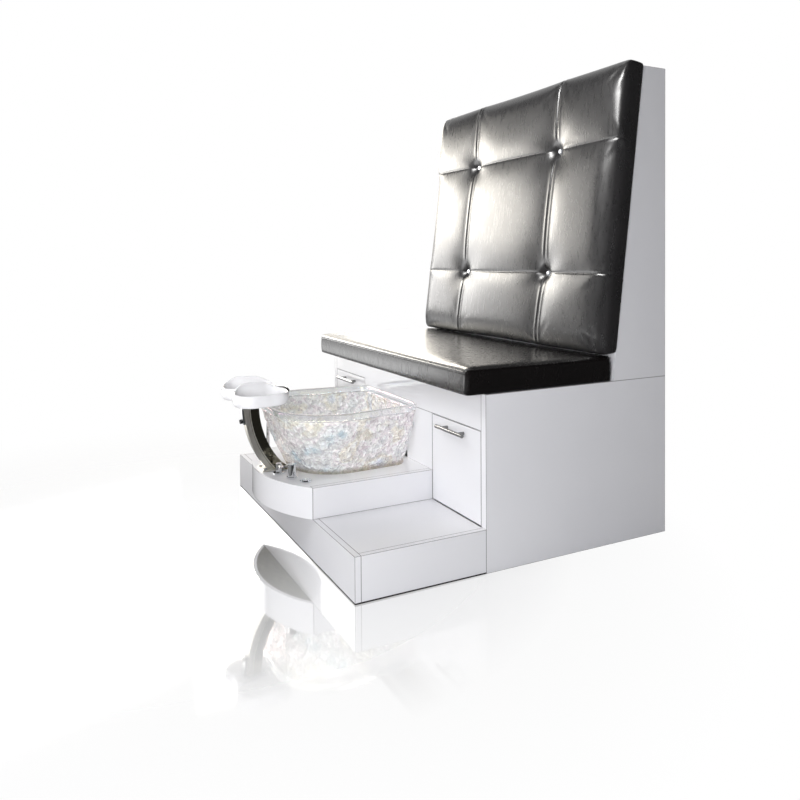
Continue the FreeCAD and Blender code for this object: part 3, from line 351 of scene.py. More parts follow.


# Underside of the platform's overhang. Its dark olive colour is painted shade, standing in for
# the shade under the overhang. It shows only from below and in the floor's reflection.
painted_shade_board, dark_tree, dark_shader = new_material("painted_shade_board")
dark_flecks = object_noise(dark_tree, 70.0, 5.0, 0.65)
painted_shade_tint = colour_range(dark_tree, dark_flecks, (0.055, 0.052, 0.036), (0.15, 0.14, 0.10))
dark_tree.links.new(painted_shade_tint, dark_shader.inputs["Base Color"])
dark_shader.inputs["Roughness"].default_value = 0.55
bump(dark_tree, dark_shader, dark_flecks, 0.0004, 0.4)
dress("platform_soffit", painted_shade_board)


# Raw boards. The upholstery is stapled to plywood, whose grain runs across the bench. The drawer
# boxes are screwed together from pale melamine board.
def raw_board(name, first, second, grain):
    material, tree, shader = new_material(name)
    fibre = object_noise(tree, 9.0, 6.0, grain=grain)
    tree.links.new(colour_range(tree, fibre, first, second), shader.inputs["Base Color"])
    shader.inputs["Roughness"].default_value = 0.6
    bump(tree, shader, fibre, 0.0004, 0.4)
    return material


plywood = raw_board("plywood", (0.52, 0.36, 0.21), (0.66, 0.50, 0.32), (1.0, 12.0, 12.0))
melamine = raw_board("melamine", (0.70, 0.70, 0.71), (0.76, 0.76, 0.77), (1.0, 1.0, 1.0))
for board_name in ("seat_cushion_board", "back_cushion_board"):
    dress(board_name, plywood)
for board_name in ("right_drawer_box", "left_drawer_box"):
    dress(board_name, melamine)


# Metal and plastic of the carried-over fittings: chrome, dark steel handles, zinc-plated slides
# and fixings, the polished steel arm, brass pipes, a white waste pipe and black knobs.
def metal(name, colour, roughness, variation, scale=40.0):
    material, tree, shader = new_material(name)
    wear = object_noise(tree, scale)
    darker = tuple(c * 0.9 for c in colour)
    tree.links.new(colour_range(tree, wear, darker, colour), shader.inputs["Base Color"])
    shader.inputs["Metallic"].default_value = 1.0
    rough = value_range(tree, wear, roughness, roughness + variation)
    tree.links.new(rough, shader.inputs["Roughness"])
    return material


def plastic(name, colour, roughness, scale=25.0):
    material, tree, shader = new_material(name)
    cloud = object_noise(tree, scale)
    darker = tuple(c * 0.94 for c in colour)
    tree.links.new(colour_range(tree, cloud, darker, colour), shader.inputs["Base Color"])
    rough = value_range(tree, cloud, roughness, roughness + 0.06)
    tree.links.new(rough, shader.inputs["Roughness"])
    bump(tree, shader, cloud, 0.0002, 0.2)
    return material


chrome = metal("chrome", (0.86, 0.87, 0.89), 0.04, 0.05)
zinc = metal("zinc_plate", (0.60, 0.61, 0.63), 0.28, 0.12)
handle_steel = metal("handle_steel", (0.27, 0.27, 0.27), 0.18, 0.06)
arm_steel = metal("arm_steel", (0.42, 0.40, 0.31), 0.07, 0.04, 12.0)
brass = metal("brass", (0.72, 0.50, 0.26), 0.22, 0.12)
waste_plastic = plastic("waste_plastic", (0.80, 0.80, 0.80), 0.30)
black_plastic = plastic("black_plastic", (0.02, 0.02, 0.022), 0.22)
finishes = {
    "tap_bodies": chrome, "hot_handle": chrome, "cold_handle": chrome, "sprayer_holder": chrome,
    "sprayer_head": chrome, "air_button_ring": chrome, "air_button": chrome, "spout_base": chrome,
    "spout": chrome, "right_drawer_handle": handle_steel, "left_drawer_handle": handle_steel,
    "drain_flange": chrome, "drain_stopper": chrome, "drain_knob_ring": chrome,
    "drain_knob": black_plastic, "footrest_lock_screw": black_plastic,
    "slide_rails": zinc, "right_drawer_slides": zinc, "left_drawer_slides": zinc,
    "footrest_arm": arm_steel, "arm_fixings": zinc, "footrest_bracket": zinc,
    "supply_pipes": brass, "water_manifold": brass,
    "drain_trap": waste_plastic, "waste_pipe": waste_plastic,
}
for fitting, finish in finishes.items():
    dress(fitting, finish)


# Outer lip of the arm. Its colour is painted in bands of light and shade: painted shade on the
# inner part, then a painted highlight and a pale painted reflection along the brushed outside,
# behind a thin painted shadow line. These bands follow the distance from the centre of the arc.
arm_tree = arm_steel.node_tree
arm_shader = arm_tree.nodes["Principled BSDF"]
arm_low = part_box("footrest_arm")[0]
arm_inside = 0.294
arm_outside = 0.342
arm_centre = (0.0, arm_low.y + arm_outside, 0.440)
# Tints of the painted bands: painted shade, painted highlight and painted reflection.
shadow_steel = (0.30, 0.28, 0.21)
painted_highlight_steel = (1.0, 0.97, 0.86)
painted_reflection_steel = (0.95, 0.92, 0.84)
arm_place = add_node(arm_tree, "ShaderNodeTexCoord").outputs["Object"]
arm_from_centre = add_node(
    arm_tree, "ShaderNodeVectorMath", ((0, arm_place),), ((1, arm_centre),), operation="SUBTRACT"
)
arm_flat = add_node(
    arm_tree,
    "ShaderNodeVectorMath",
    ((0, arm_from_centre.outputs[0]),),
    ((1, (0.0, 1.0, 1.0)),),
    operation="MULTIPLY",
)
arm_radius = add_node(
    arm_tree, "ShaderNodeVectorMath", ((0, arm_flat.outputs[0]),), operation="LENGTH"
)
arm_share = span(arm_tree, arm_radius.outputs["Value"], arm_inside, arm_outside, 0.0, 1.0)
arm_painted_light = add_node(arm_tree, "ShaderNodeValToRGB", (("Fac", arm_share),))
for position, tint in (
    (0.55, shadow_steel), (0.60, painted_highlight_steel), (0.64, painted_highlight_steel), (0.67, (0.45, 0.43, 0.36)),
    (0.71, painted_reflection_steel),
):
    stop = arm_painted_light.color_ramp.elements.new(position)
    stop.color = (*tint, 1.0)
arm_painted_light.color_ramp.elements[0].color = (*shadow_steel, 1.0)
arm_painted_light.color_ramp.elements[-1].color = (*painted_reflection_steel, 1.0)
arm_tree.links.new(arm_painted_light.outputs["Color"], arm_shader.inputs["Base Color"])
arm_rough = span(arm_tree, arm_share, 0.56, 0.60, 0.07, 0.45)
arm_tree.links.new(arm_rough, arm_shader.inputs["Roughness"])


def smooth_fitting(node, angle=35.0):
    piece = cad[node]
    for polygon in piece.data.polygons:
        polygon.use_smooth = True
    weld = piece.modifiers.new("weld", "WELD")
    weld.merge_threshold = 0.00002
    split = piece.modifiers.new("split", "EDGE_SPLIT")
    split.split_angle = math.radians(angle)


for fitting in finishes:
    smooth_fitting(fitting)


# Leather of both cushions: black, semi-gloss, with a fine grain and a soft broad highlight. The
# leather of the back is a little paler and rougher than that of the seat.
def leather(name, colour, roughness, relief_strength):
    material, tree, shader = new_material(name)
    place = add_node(tree, "ShaderNodeTexCoord").outputs["Object"]
    grain = add_node(tree, "ShaderNodeTexVoronoi", (("Vector", place),), (("Scale", 620.0),))
    creases = object_noise(tree, 110.0, 4.0, 0.6, grain=(1.0, 0.5, 0.18))
    patches = object_noise(tree, 6.0)
    darker = tuple(c * 0.7 for c in colour)
    tree.links.new(colour_range(tree, patches, darker, colour), shader.inputs["Base Color"])
    rough = value_range(tree, creases, roughness - 0.03, roughness + 0.05)
    tree.links.new(rough, shader.inputs["Roughness"])
    relief = add_node(
        tree,
        "ShaderNodeMath",
        ((0, creases), (2, grain.outputs["Distance"])),
        ((1, 0.6),),
        operation="MULTIPLY_ADD",
    )
    bump(tree, shader, relief.outputs[0], 0.00035, relief_strength)
    shader.inputs["Specular IOR Level"].default_value = 0.85
    return material


seat_leather = leather("seat_leather", (0.005, 0.004, 0.004), 0.24, 0.03)
back_leather = leather("back_leather", (0.022, 0.021, 0.022), 0.28, 0.05)


# Back cushion. Foam on a board under black leather, boxed at the sides, with two pleated seams
# each way and a button pulled in at each crossing. It leans on the sloping board of the back.
def cell_cuts(length, cell):
    return max(0, round(length / cell) - 1)


def padded_block(half_width, length, height, cell, across_cuts, along_cuts):
    """Box on its base, cut at the seams' edges and then into even cells."""
    bm = bmesh.new()
    bmesh.ops.create_cube(bm, size=1.0)
    bmesh.ops.transform(
        bm,
        matrix=Matrix.Translation((0.0, length / 2, height / 2))
        @ Matrix.Diagonal((2 * half_width, length, height, 1.0)),
        verts=bm.verts,
    )
    for normal, places in (((1, 0, 0), across_cuts), ((0, 1, 0), along_cuts)):
        for place in places:
            bmesh.ops.bisect_plane(
                bm,
                geom=bm.verts[:] + bm.edges[:] + bm.faces[:],
                plane_co=Vector(normal) * place,
                plane_no=normal,
            )
    for axis in range(3):
        groups = {}
        for edge in bm.edges:
            run = edge.verts[1].co - edge.verts[0].co
            if abs(run[axis]) > 0.9 * run.length:
                groups.setdefault(cell_cuts(run.length, cell), []).append(edge)
        for cuts, edges in sorted(groups.items()):
            if cuts:
                bmesh.ops.subdivide_edges(bm, edges=edges, cuts=cuts, use_grid_fill=True)
    return bm


def round_plan_corner(x, y, half_width, length, radius):
    """Place of a point after the square corner of the plan that it lies in is rounded."""
    side = 1.0 if x > 0 else -1.0
    end = 1.0 if y > length / 2 else -1.0
    from_side = radius - (half_width - abs(x))
    from_end = radius - (y if end < 0 else length - y)
    if from_side <= 0 or from_end <= 0:
        return x, y
    reach = math.hypot(from_side, from_end)
    scale = max(from_side, from_end) / reach
    return (
        side * (half_width - radius + from_side * scale),
        (radius - from_end * scale) if end < 0 else (length - radius + from_end * scale),
    )


def rounding(distance, radius):
    """How far a rounded edge falls below the flat at a distance inside it."""
    if distance >= radius:
        return 0.0
    gap = radius - max(distance, 0.0)
    return radius - math.sqrt(max(radius * radius - gap * gap, 0.0))


def stuffed(piece, held, force, most):
    """Blow the cover up against its seams and buttons, and keep the shape it settles in."""
    start = [vert.co.copy() for vert in piece.data.vertices]
    group = piece.vertex_groups.new(name="held")
    for index, weight in held:
        group.add([index], weight, "REPLACE")
    cloth = piece.modifiers.new("stuffing", "CLOTH")
    cloth.settings.quality = 4
    cloth.settings.use_pressure = True
    cloth.settings.uniform_pressure_force = force
    cloth.settings.vertex_group_mass = "held"
    cloth.settings.effector_weights.gravity = 0.0
    cloth.settings.bending_stiffness = 0.8
    cloth.collision_settings.use_collision = False
    for step in range(1, 21):
        bpy.context.scene.frame_set(step)
    settled = piece.evaluated_get(bpy.context.evaluated_depsgraph_get())
    moved = [vert.co.copy() for vert in settled.data.vertices]
    piece.modifiers.remove(cloth)
    piece.vertex_groups.remove(group)
    for vert, first, last in zip(piece.data.vertices, start, moved):
        move = last - first
        reach = move.length / most
        if reach > 0.0:
            vert.co = first + move * math.tanh(reach) / reach
    bpy.context.scene.frame_set(1)


def seam_profile(distance, ridge, ridge_place, groove, groove_width):
    """Height of the cover beside a pleated seam: a groove between two soft ridges."""
    rise = ridge * math.exp(-((abs(distance) - ridge_place) / (0.45 * ridge_place)) ** 2)
    return rise - groove * math.exp(-(distance / groove_width) ** 2)


def smooth_piece(name, bm, material):
    """Object with smooth faces and one material, made from a bmesh."""
    mesh = bpy.data.meshes.new(name)
    bm.to_mesh(mesh)
    bm.free()
    for polygon in mesh.polygons:
        polygon.use_smooth = True
    mesh.materials.append(material)
    piece = bpy.data.objects.new(name, mesh)
    bpy.context.scene.collection.objects.link(piece)
    return piece


def cushion_piece(name, bm, place, leather_material):
    """Object of a cushion, made from a bmesh that stands on its base."""
    bmesh.ops.recalc_face_normals(bm, faces=bm.faces)
    bm.transform(place)
    return smooth_piece(name, bm, leather_material)


def soften(piece):
    """Round a piece off by one level, in the view as in the render."""
    smooth = piece.modifiers.new("soften", "SUBSURF")
    smooth.levels = 1
    smooth.render_levels = 1


lean = math.radians(7.2934)
back_start = Vector((0.0, 0.4372, 0.60204))
back_matrix = Matrix.Translation(back_start) @ Matrix.Rotation(math.pi / 2 - lean, 4, "X")
back_length = 0.9400
back_half = 0.5850
back_block = 0.060
back_cell = 0.0105
back_panel = 0.0755
back_edge = 0.007
back_bulge = 0.0025
back_overlap = 0.0075
overlap_width = 0.05
plan_corner = 0.016
side_roll, side_roll_less, side_roll_width = 0.022, 0.0195, 0.062
top_roll, top_roll_width = 0.014, 0.070
foot_roll, foot_roll_width = 0.012, 0.060
upper_easing = 0.06
tuft_x = 0.2622
tuft_y = (0.2473, 0.6822)
tufts = [(side * tuft_x, level) for level in tuft_y for side in (-1, 1)]
tuft_bottom = 0.0415
button_radius = 0.012
button_dish = 0.0075
dimple_depth, dimple_width = 0.0200, 0.050
crater_depth, crater_width = 0.0140, 0.024
calm_width = 0.065
pleat_cuts = (-0.016, -0.009, -0.004, 0.0, 0.004, 0.009, 0.016)
welt_cuts = (-0.007, -0.0035, 0.0, 0.0035, 0.007)
pleat_profile = (0.0021, 0.009, 0.0018, 0.0045)
welt_profile = (0.0009, 0.006, 0.0022, 0.0032)
fold_height, fold_place, fold_width, fold_end = 0.0004, 0.032, 0.022, 0.13
pleat_held, welt_held, tuft_held = 0.0165, 0.0075, 0.016
tuft_free, tuft_easing = 0.075, 0.059
back_pressure, back_puff = 3.0, 0.0075
back_bm = padded_block(
    back_half, back_length, back_block, back_cell,
    [side * tuft_x + cut for side in (-1, 1) for cut in pleat_cuts],
    [level + cut for level in tuft_y for cut in welt_cuts],
)
back_held = []
for vert in back_bm.verts:
    x, y, z = vert.co
    share = z / back_block
    side_inside = back_half - abs(x)
    end_inside = min(y, back_length - y)
    upper = min(1.0, max(0.0, (y - tuft_y[1]) / upper_easing + 0.5))
    at_side = max(0.0, 1.0 - side_inside / side_roll_width)
    at_top = max(0.0, 1.0 - (back_length - y) / top_roll_width)
    at_foot = max(0.0, 1.0 - y / foot_roll_width)
    roll = (side_roll - side_roll_less * upper) * at_side ** 1.8
    roll += top_roll * at_top ** 2
    roll += foot_roll * at_foot ** 2
    top = back_panel - roll - rounding(min(side_inside, end_inside), back_edge)
    near_tuft = min(math.hypot(x - tuft[0], y - tuft[1]) for tuft in tufts)
    pleat_side = min((x + tuft_x, x - tuft_x), key=abs)
    welt_side = min((y - level for level in tuft_y), key=abs)
    dimple = dimple_depth * math.exp(-near_tuft / dimple_width)
    crater = crater_depth * math.exp(-((near_tuft / crater_width) ** 2))
    top -= dimple + crater
    calm = min(1.0, max(0.0, near_tuft - button_radius) / calm_width)
    top += seam_profile(pleat_side, *pleat_profile) * calm
    top += seam_profile(welt_side, *welt_profile) * calm
    if button_radius < near_tuft < fold_end:
        tuft = min(tufts, key=lambda place: math.hypot(x - place[0], y - place[1]))
        angle = math.atan2(y - tuft[1], x - tuft[0])
        fold = math.cos(angle * 8 + tuft[0] * 9 + tuft[1] * 5)
        top += fold_height * fold * math.exp(-((near_tuft - fold_place) / fold_width) ** 2)
    if near_tuft < button_radius:
        top = min(top, tuft_bottom + button_dish * (near_tuft / button_radius) ** 2)
    sewn = abs(pleat_side) < pleat_held or abs(welt_side) < welt_held or near_tuft < tuft_held
    if share < 0.75 or (share > 0.999 and sewn):
        back_held.append((vert.index, 1.0))
    elif share > 0.999 and near_tuft < tuft_free:
        back_held.append((vert.index, (tuft_free - near_tuft) / tuft_easing))
    new_x, new_y = round_plan_corner(x, y, back_half, back_length, plan_corner)
    border = back_bulge * math.sin(math.pi * share)
    vert.co.x = new_x * (1.0 + border / back_half)
    vert.co.y = new_y - back_overlap * share * max(0.0, 1.0 - y / overlap_width)
    vert.co.z = top * share
back_cushion = cushion_piece("back_cushion_leather", back_bm, back_matrix, back_leather)
stuffed(back_cushion, back_held, back_pressure, back_puff)
soften(back_cushion)
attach(back_cushion, "bench")
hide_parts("back_cushion")


# Seat cushion. A boxed slab of foam on a board under the same leather. Its top panel is sewn to
# the side border a few millimetres below the edge, and it is a little crowned.
seat_low, seat_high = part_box("seat_cushion")
seat_clearance = 0.0005
seat_half = 0.5790
seat_length = seat_high.y - seat_low.y - 2 * seat_clearance
seat_height = 0.080
seat_cell = 0.0125
seat_panel = 0.0785
seat_edge = 0.006
seat_bulge = 0.0015
seam_level = 0.0705
seam_cuts = (0.0685, seam_level, 0.0725)
seam_depth, seam_width = 0.0010, 0.0012
seat_pressure, seat_puff = 1.0, 0.002
seat_bm = padded_block(seat_half, seat_length, seat_height, seat_cell, (), ())
for level in seam_cuts:
    bmesh.ops.bisect_plane(
        seat_bm,
        geom=seat_bm.verts[:] + seat_bm.edges[:] + seat_bm.faces[:],
        plane_co=(0.0, 0.0, level),
        plane_no=(0.0, 0.0, 1.0),
    )
seat_bm.verts.index_update()
seat_held = []
for vert in seat_bm.verts:
    x, y, z = vert.co
    share = z / seat_height
    on_side = min(seat_half - abs(x), y, seat_length - y) < 1e-5
    top = seat_panel - rounding(min(seat_half - abs(x), y), seat_edge)
    seam = seam_depth * math.exp(-((z - seam_level) / seam_width) ** 2) if on_side else 0.0
    border = seat_bulge * math.sin(math.pi * share) - seam
    if share < 0.93:
        seat_held.append((vert.index, 1.0))
    new_x, new_y = round_plan_corner(x, y, seat_half, seat_length, plan_corner)
    vert.co.x = new_x * (1.0 + border / seat_half)
    vert.co.y = new_y + border * (2 * new_y / seat_length - 1.0)
    vert.co.z = top * share
seat_place = Matrix.Translation((0.0, seat_low.y + seat_clearance, seat_low.z))
seat_cushion = cushion_piece("seat_cushion_leather", seat_bm, seat_place, seat_leather)
stuffed(seat_cushion, seat_held, seat_pressure, seat_puff)
soften(seat_cushion)
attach(seat_cushion, "bench")
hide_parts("seat_cushion")


# Tuft buttons. Four cut crystals on silvered backs, each pulled down into the leather by a cord
# through the foam.
crystal, crystal_tree, crystal_shader = new_material("cut_crystal")
crystal_cloud = object_noise(crystal_tree, 300.0, 2.0)
crystal_tint = colour_range(crystal_tree, crystal_cloud, (0.72, 0.75, 0.80), (0.93, 0.95, 0.98))
crystal_tree.links.new(crystal_tint, crystal_shader.inputs["Base Color"])
crystal_shader.inputs["Metallic"].default_value = 0.65
crystal_shader.inputs["Roughness"].default_value = 0.03
crystal_shader.inputs["IOR"].default_value = 1.7
dress("tuft_buttons", crystal)


# Foot cups. One white moulding with a dished cup for each foot and a bridge between them, toed out
# from the heel. The rim is thick and soft, and its far side stands up beside the toes.
cups_low, cups_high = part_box("footrest_cups")
cup_spread = 0.065
cup_half = 0.0598
cup_side = 0.042
cup_round = 0.058
toe_rise = 0.034
toe_place = cups_low.y + 0.085
toe_width = 0.070
hood_reach = 0.35
toe_out = math.radians(9.0)
rise_start = 0.014
heel_place = cups_high.y - 0.055
bridge_middle = -0.5775
bridge_level = 0.012
bridge_size = (0.044, 0.110, 0.024)
bridge_edge = 0.005


def cup_plan(bm, centre, inset, level):
    """Outline of a cup at one level, as a filled face with its corners rounded."""
    half = cup_half - inset
    front = cups_low.y + inset
    back = cups_high.y - inset
    left, right = centre - half, centre + half
    corners = ((right, back), (right, front), (left, front), (left, back))
    verts = [bm.verts.new((x, y, level)) for x, y in corners]
    bm.faces.new(verts)
    bmesh.ops.bevel(
        bm, geom=verts, offset=cup_round - inset, offset_type="OFFSET", affect="VERTICES",
        segments=10, profile=0.5, material=-1,
    )
    return [edge for edge in bm.edges if all(abs(vert.co.z - level) < 1e-7 for vert in edge.verts)]


def rim_lift_at(x, y, centre):
    """How far the rim stands above its level part at a place round the cup."""
    far_side = max(0.0, (centre - x) / cup_half + hood_reach) / (1.0 + hood_reach)
    beside_toes = math.exp(-((y - toe_place) / toe_width) ** 2)
    return toe_rise * far_side ** 1.3 * beside_toes


cup_bm = bmesh.new()
cup_rings = (
    (0.0185, 0.0000), (0.0100, 0.0016), (0.0042, 0.0060), (0.0014, 0.0130), (0.0000, 0.0230),
    (0.0000, 0.0320), (0.0006, 0.0370), (0.0024, 0.0406), (0.0052, 0.0420), (0.0082, 0.0406),
    (0.0100, 0.0370), (0.0106, 0.0310), (0.0120, 0.0230), (0.0160, 0.0165), (0.0225, 0.0132),
    (0.0330, 0.0122),
)
for side in (-1, 1):
    centre = side * cup_spread
    rings = []
    for inset, rise in cup_rings:
        edges = cup_plan(cup_bm, centre, inset, 2.0 + len(rings))
        ring_verts = {vert for edge in edges for vert in edge.verts}
        if 0 < len(rings) < len(cup_rings) - 1:
            plans = [face for face in cup_bm.faces if ring_verts.issuperset(face.verts)]
            bmesh.ops.delete(cup_bm, geom=plans, context="FACES_ONLY")
        rings.append((edges, ring_verts, rise))
    for below, above in zip(rings, rings[1:]):
        bmesh.ops.bridge_loops(cup_bm, edges=below[0] + above[0])
    for _, ring_verts, rise in rings:
        share = max(0.0, (rise - rise_start) / (cup_side - rise_start))
        for vert in ring_verts:
            vert.co.z = cups_low.z + rise + rim_lift_at(vert.co.x, vert.co.y, centre) * share
    heel = Vector((centre, heel_place, 0.0))
    swing = (
        Matrix.Translation(heel)
        @ Matrix.Rotation(side * toe_out, 4, "Z")
        @ Matrix.Translation(-heel)
    )
    cup_verts = [vert for _, ring_verts, _ in rings for vert in ring_verts]
    bmesh.ops.transform(cup_bm, matrix=swing, verts=cup_verts)
bridge = bmesh.ops.create_cube(cup_bm, size=1.0)["verts"]
bmesh.ops.transform(
    cup_bm,
    matrix=Matrix.Translation((0.0, bridge_middle, cups_low.z + bridge_level))
    @ Matrix.Diagonal((*bridge_size, 1.0)),
    verts=bridge,
)
bmesh.ops.bevel(
    cup_bm, geom=list({edge for vert in bridge for edge in vert.link_edges}), offset=bridge_edge,
    offset_type="OFFSET", affect="EDGES", segments=3, profile=0.5, material=-1,
)
bmesh.ops.recalc_face_normals(cup_bm, faces=cup_bm.faces)
cup_plastic = plastic("cup_plastic", (0.97, 0.97, 0.99), 0.12)
foot_cups = smooth_piece("foot_cups", cup_bm, cup_plastic)
soften(foot_cups)
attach(foot_cups, "footrest")
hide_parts("footrest_cups")


# Foot bowl. One thick casting of crackled clear glass with an iridescent coat. It stands on the
# platform and is held by its drain. The wall is rough outside, with a smooth band at the rim.
bowl_low = 0.222
bowl_high = 0.429
bowl_wall = 0.008
bowl_floor = 0.012
bowl_loops = 32
front_run_cuts = 20
back_run_cuts = 84
side_run_cuts = 52
crackle_scale, crackle_depth, crackle_sink = 58.0, 0.0034, 0.0036
wave_scale, wave_depth = 24.0, 0.0026
crest_most = 0.6
inside_share = 0.4
calm_from, calm_easing = 0.89, 0.05
rim_lift = 0.01
chip_scale = 92.0


def blended(first, last, share):
    return first + (last - first) * share


def bowl_outline(bm, level, spread, inset):
    """Edges of the bowl's plan at one level: four points, with their corners rounded."""
    front = blended(-0.4505, -0.5225, spread) + inset
    back = blended(-0.0865, -0.0705, spread) - inset
    front_half = blended(0.186, 0.268, spread) - inset
    back_half = blended(0.165, 0.215, spread) - inset
    corners = ((back_half, back), (front_half, front), (-front_half, front), (-back_half, back))
    verts = [bm.verts.new((x, y, level)) for x, y in corners]
    plan = bm.faces.new(verts)
    turn = math.atan2(front_half - back_half, back - front)
    front_radius = blended(0.150, 0.190, spread) - inset
    back_radius = blended(0.050, 0.035, spread) - inset
    for pair, radius, half_angle, segments in (
        (verts[1:3], front_radius, (math.pi / 2 - turn) / 2, 60),
        ((verts[0], verts[3]), back_radius, (math.pi / 2 + turn) / 2, 14),
    ):
        bmesh.ops.bevel(
            bm, geom=list(pair), offset=radius / math.tan(half_angle), offset_type="OFFSET",
            affect="VERTICES", segments=segments, profile=0.5, material=-1,
        )
    plan = next(
        face for face in bm.faces
        if abs(face.verts[0].co.z - level) < 1e-6 and len(face.verts) > 8
    )
    edges = list(plan.edges)
    bmesh.ops.delete(bm, geom=[plan], context="FACES_ONLY")
    runs = {front_run_cuts: [], back_run_cuts: [], side_run_cuts: []}
    for edge in edges:
        middle = (edge.verts[0].co + edge.verts[1].co) / 2
        run = edge.verts[1].co - edge.verts[0].co
        if run.length < 0.012:
            continue
        if abs(run.y) > abs(run.x):
            runs[side_run_cuts].append(edge)
        elif middle.y < (front + back) / 2:
            runs[front_run_cuts].append(edge)
        else:
            runs[back_run_cuts].append(edge)
    for cuts, long_edges in runs.items():
        bmesh.ops.subdivide_edges(bm, edges=long_edges, cuts=cuts)
    return [edge for edge in bm.edges if all(abs(vert.co.z - level) < 1e-6 for vert in edge.verts)
            and edge.is_wire]


def bowl_shell(bm, low, inset):
    """Wall from the foot's outline up to the rim's, and the two end outlines."""
    first = None
    below = None
    for k in range(bowl_loops + 1):
        share = k / bowl_loops
        level = blended(low, bowl_high, share)
        spread = 1.0 - 1.05 * (1.0 - share) ** 1.45
        outline = bowl_outline(bm, level, spread, inset)
        if below is None:
            first = outline
        else:
            bmesh.ops.bridge_loops(bm, edges=below + outline)
        below = outline
    return first, below


bowl_bm = bmesh.new()
inner_foot, inner_rim = bowl_shell(bowl_bm, bowl_low + bowl_floor, bowl_wall)
inner_verts = set(bowl_bm.verts)
# The inner rim stands higher while the outer outlines are made, since they are found by level.
for vert in bowl_bm.verts:
    if vert.co.z > bowl_high - 1e-5:
        vert.co.z += rim_lift
outer_foot, outer_rim = bowl_shell(bowl_bm, bowl_low, 0.0)
bmesh.ops.bridge_loops(bowl_bm, edges=inner_rim + outer_rim)
for vert in bowl_bm.verts:
    vert.co.z = min(vert.co.z, bowl_high)
bmesh.ops.contextual_create(bowl_bm, geom=inner_foot)
bmesh.ops.contextual_create(bowl_bm, geom=outer_foot)
bmesh.ops.recalc_face_normals(bowl_bm, faces=bowl_bm.faces)
bowl_bm.normal_update()
for vert in bowl_bm.verts:
    side = inside_share if vert in inner_verts else 1.0
    low = bowl_low + (bowl_floor if vert in inner_verts else 0.0)
    share = (vert.co.z - low) / (bowl_high - low)
    calm = min(1.0, max(0.0, (calm_from - share) / calm_easing)) * min(1.0, share / calm_easing)
    cells = noise.voronoi(vert.co * crackle_scale)[0]
    crest = min(cells[1] - cells[0], crest_most)
    wave = noise.noise(vert.co * wave_scale)
    relief = crackle_depth * crest + wave_depth * wave - crackle_sink
    away = Vector((vert.normal.x, vert.normal.y, 0.0))
    if away.length > 0.01:
        vert.co += away.normalized() * relief * calm * side
# The chips between the cracks differ a little in tone, and their random brightness also lifts
# many of them past white as painted sparkle. The tint drifts from pale blue to straw. The foot is
# darker, and the band at the rim is clear and smooth.
glass, glass_tree, glass_shader = new_material("crackled_glass")
glass_place = add_node(glass_tree, "ShaderNodeTexCoord").outputs["Object"]
glass_stir = add_node(
    glass_tree,
    "ShaderNodeTexNoise",
    (("Vector", glass_place),),
    (("Scale", 38.0), ("Detail", 4.0)),
)
glass_bent = add_node(
    glass_tree,
    "ShaderNodeVectorMath",
    ((0, glass_stir.outputs["Color"]), (2, glass_place)),
    ((1, (0.030, 0.030, 0.030)),),
    operation="MULTIPLY_ADD",
).outputs[0]
glass_tints = object_noise(glass_tree, 9.0, 5.0)
glass_ramp = add_node(glass_tree, "ShaderNodeValToRGB", (("Fac", glass_tints),))
for position, tint in (
    (0.30, (0.72, 0.91, 1.00)), (0.38, (0.95, 0.99, 1.0)), (0.45, (0.97, 0.99, 0.98)),
    (0.49, (0.99, 0.94, 0.96)), (0.53, (0.96, 0.99, 0.98)), (0.58, (0.97, 0.93, 0.80)),
    (0.63, (0.96, 0.99, 0.97)), (0.70, (0.82, 0.89, 1.0)),
):
    stop = glass_ramp.color_ramp.elements.new(position)
    stop.color = (*tint, 1.0)
glass_ramp.color_ramp.elements.remove(glass_ramp.color_ramp.elements[0])
glass_ramp.color_ramp.elements.remove(glass_ramp.color_ramp.elements[-1])
chip_sites = (("Vector", glass_bent),), (("Scale", chip_scale),)
glass_chips = add_node(glass_tree, "ShaderNodeTexVoronoi", *chip_sites)
glass_cracks = add_node(
    glass_tree, "ShaderNodeTexVoronoi", *chip_sites, feature="DISTANCE_TO_EDGE"
)
chip_parts = add_node(
    glass_tree, "ShaderNodeSeparateXYZ", ((0, glass_chips.outputs["Color"]),)
).outputs
# Random brightness of each chip: partly its own tone, partly painted sparkle past white.
chip_tone_and_glint = span(glass_tree, chip_parts[0], 0.0, 1.0, 0.86, 1.55)
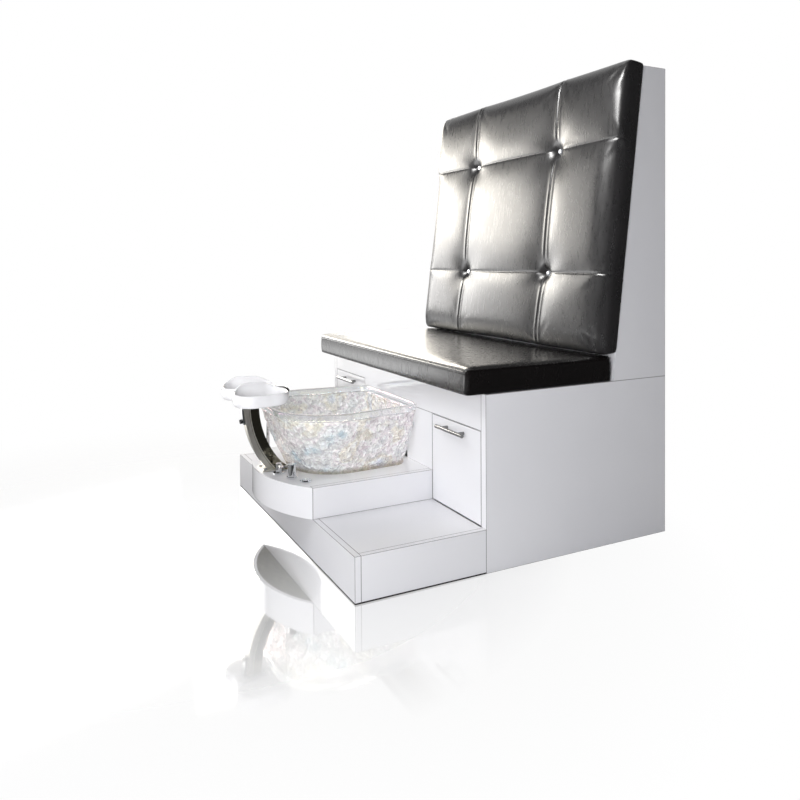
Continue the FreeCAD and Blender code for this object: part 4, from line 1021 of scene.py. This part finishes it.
crack_light = span(glass_tree, glass_cracks.outputs["Distance"], 0.0, 0.06, 0.70, 1.0)
chip_colour = add_node(
    glass_tree,
    "ShaderNodeVectorMath",
    (
        (0, glass_ramp.outputs["Color"]),
        ("Scale", combine(glass_tree, "MULTIPLY", chip_tone_and_glint, crack_light)),
    ),
    operation="SCALE",
).outputs[0]
glass_level = object_parts(glass_tree)[2]
band_ends = (bowl_high - 0.027, bowl_high - 0.021)
rim_band = span(glass_tree, glass_level, *band_ends, 0.0, 1.0)
foot_band = span(glass_tree, glass_level, bowl_low + 0.006, bowl_low + 0.022, 0.75, 0.0)
footed = blend(glass_tree, foot_band, chip_colour, (0.42, 0.39, 0.22))
banded = blend(glass_tree, rim_band, footed, (0.94, 0.96, 0.97))
glass_tree.links.new(banded, glass_shader.inputs["Base Color"])
glass_clear = span(glass_tree, glass_level, *band_ends, 0.55, 0.88)
glass_tree.links.new(glass_clear, glass_shader.inputs["Transmission Weight"])
glass_shader.inputs["IOR"].default_value = 1.42
glass_shader.inputs["Roughness"].default_value = 0.04
glass_shader.inputs["Thin Film Thickness"].default_value = 380.0
glass_shader.inputs["Thin Film IOR"].default_value = 1.6
below_band = span(glass_tree, rim_band, 0.0, 1.0, 1.0, 0.0)
chip_relief = combine(glass_tree, "MULTIPLY", glass_chips.outputs["Distance"], below_band)
bump(glass_tree, glass_shader, chip_relief, 0.0105)
glass_path = add_node(glass_tree, "ShaderNodeLightPath").outputs
light_rays = combine(
    glass_tree, "MAXIMUM", glass_path["Is Shadow Ray"], glass_path["Is Diffuse Ray"]
)
light_through = combine(glass_tree, "MULTIPLY", light_rays, 0.8)
clear = add_node(glass_tree, "ShaderNodeBsdfTransparent")
glass_whole = mix_shaders(glass_tree, light_through, glass_shader, clear)
glass_output = glass_tree.nodes["Material Output"]
glass_tree.links.new(glass_whole.outputs[0], glass_output.inputs["Surface"])
glass_bowl = smooth_piece("glass_bowl", bowl_bm, glass)
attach(glass_bowl, "bench")
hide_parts("bowl")
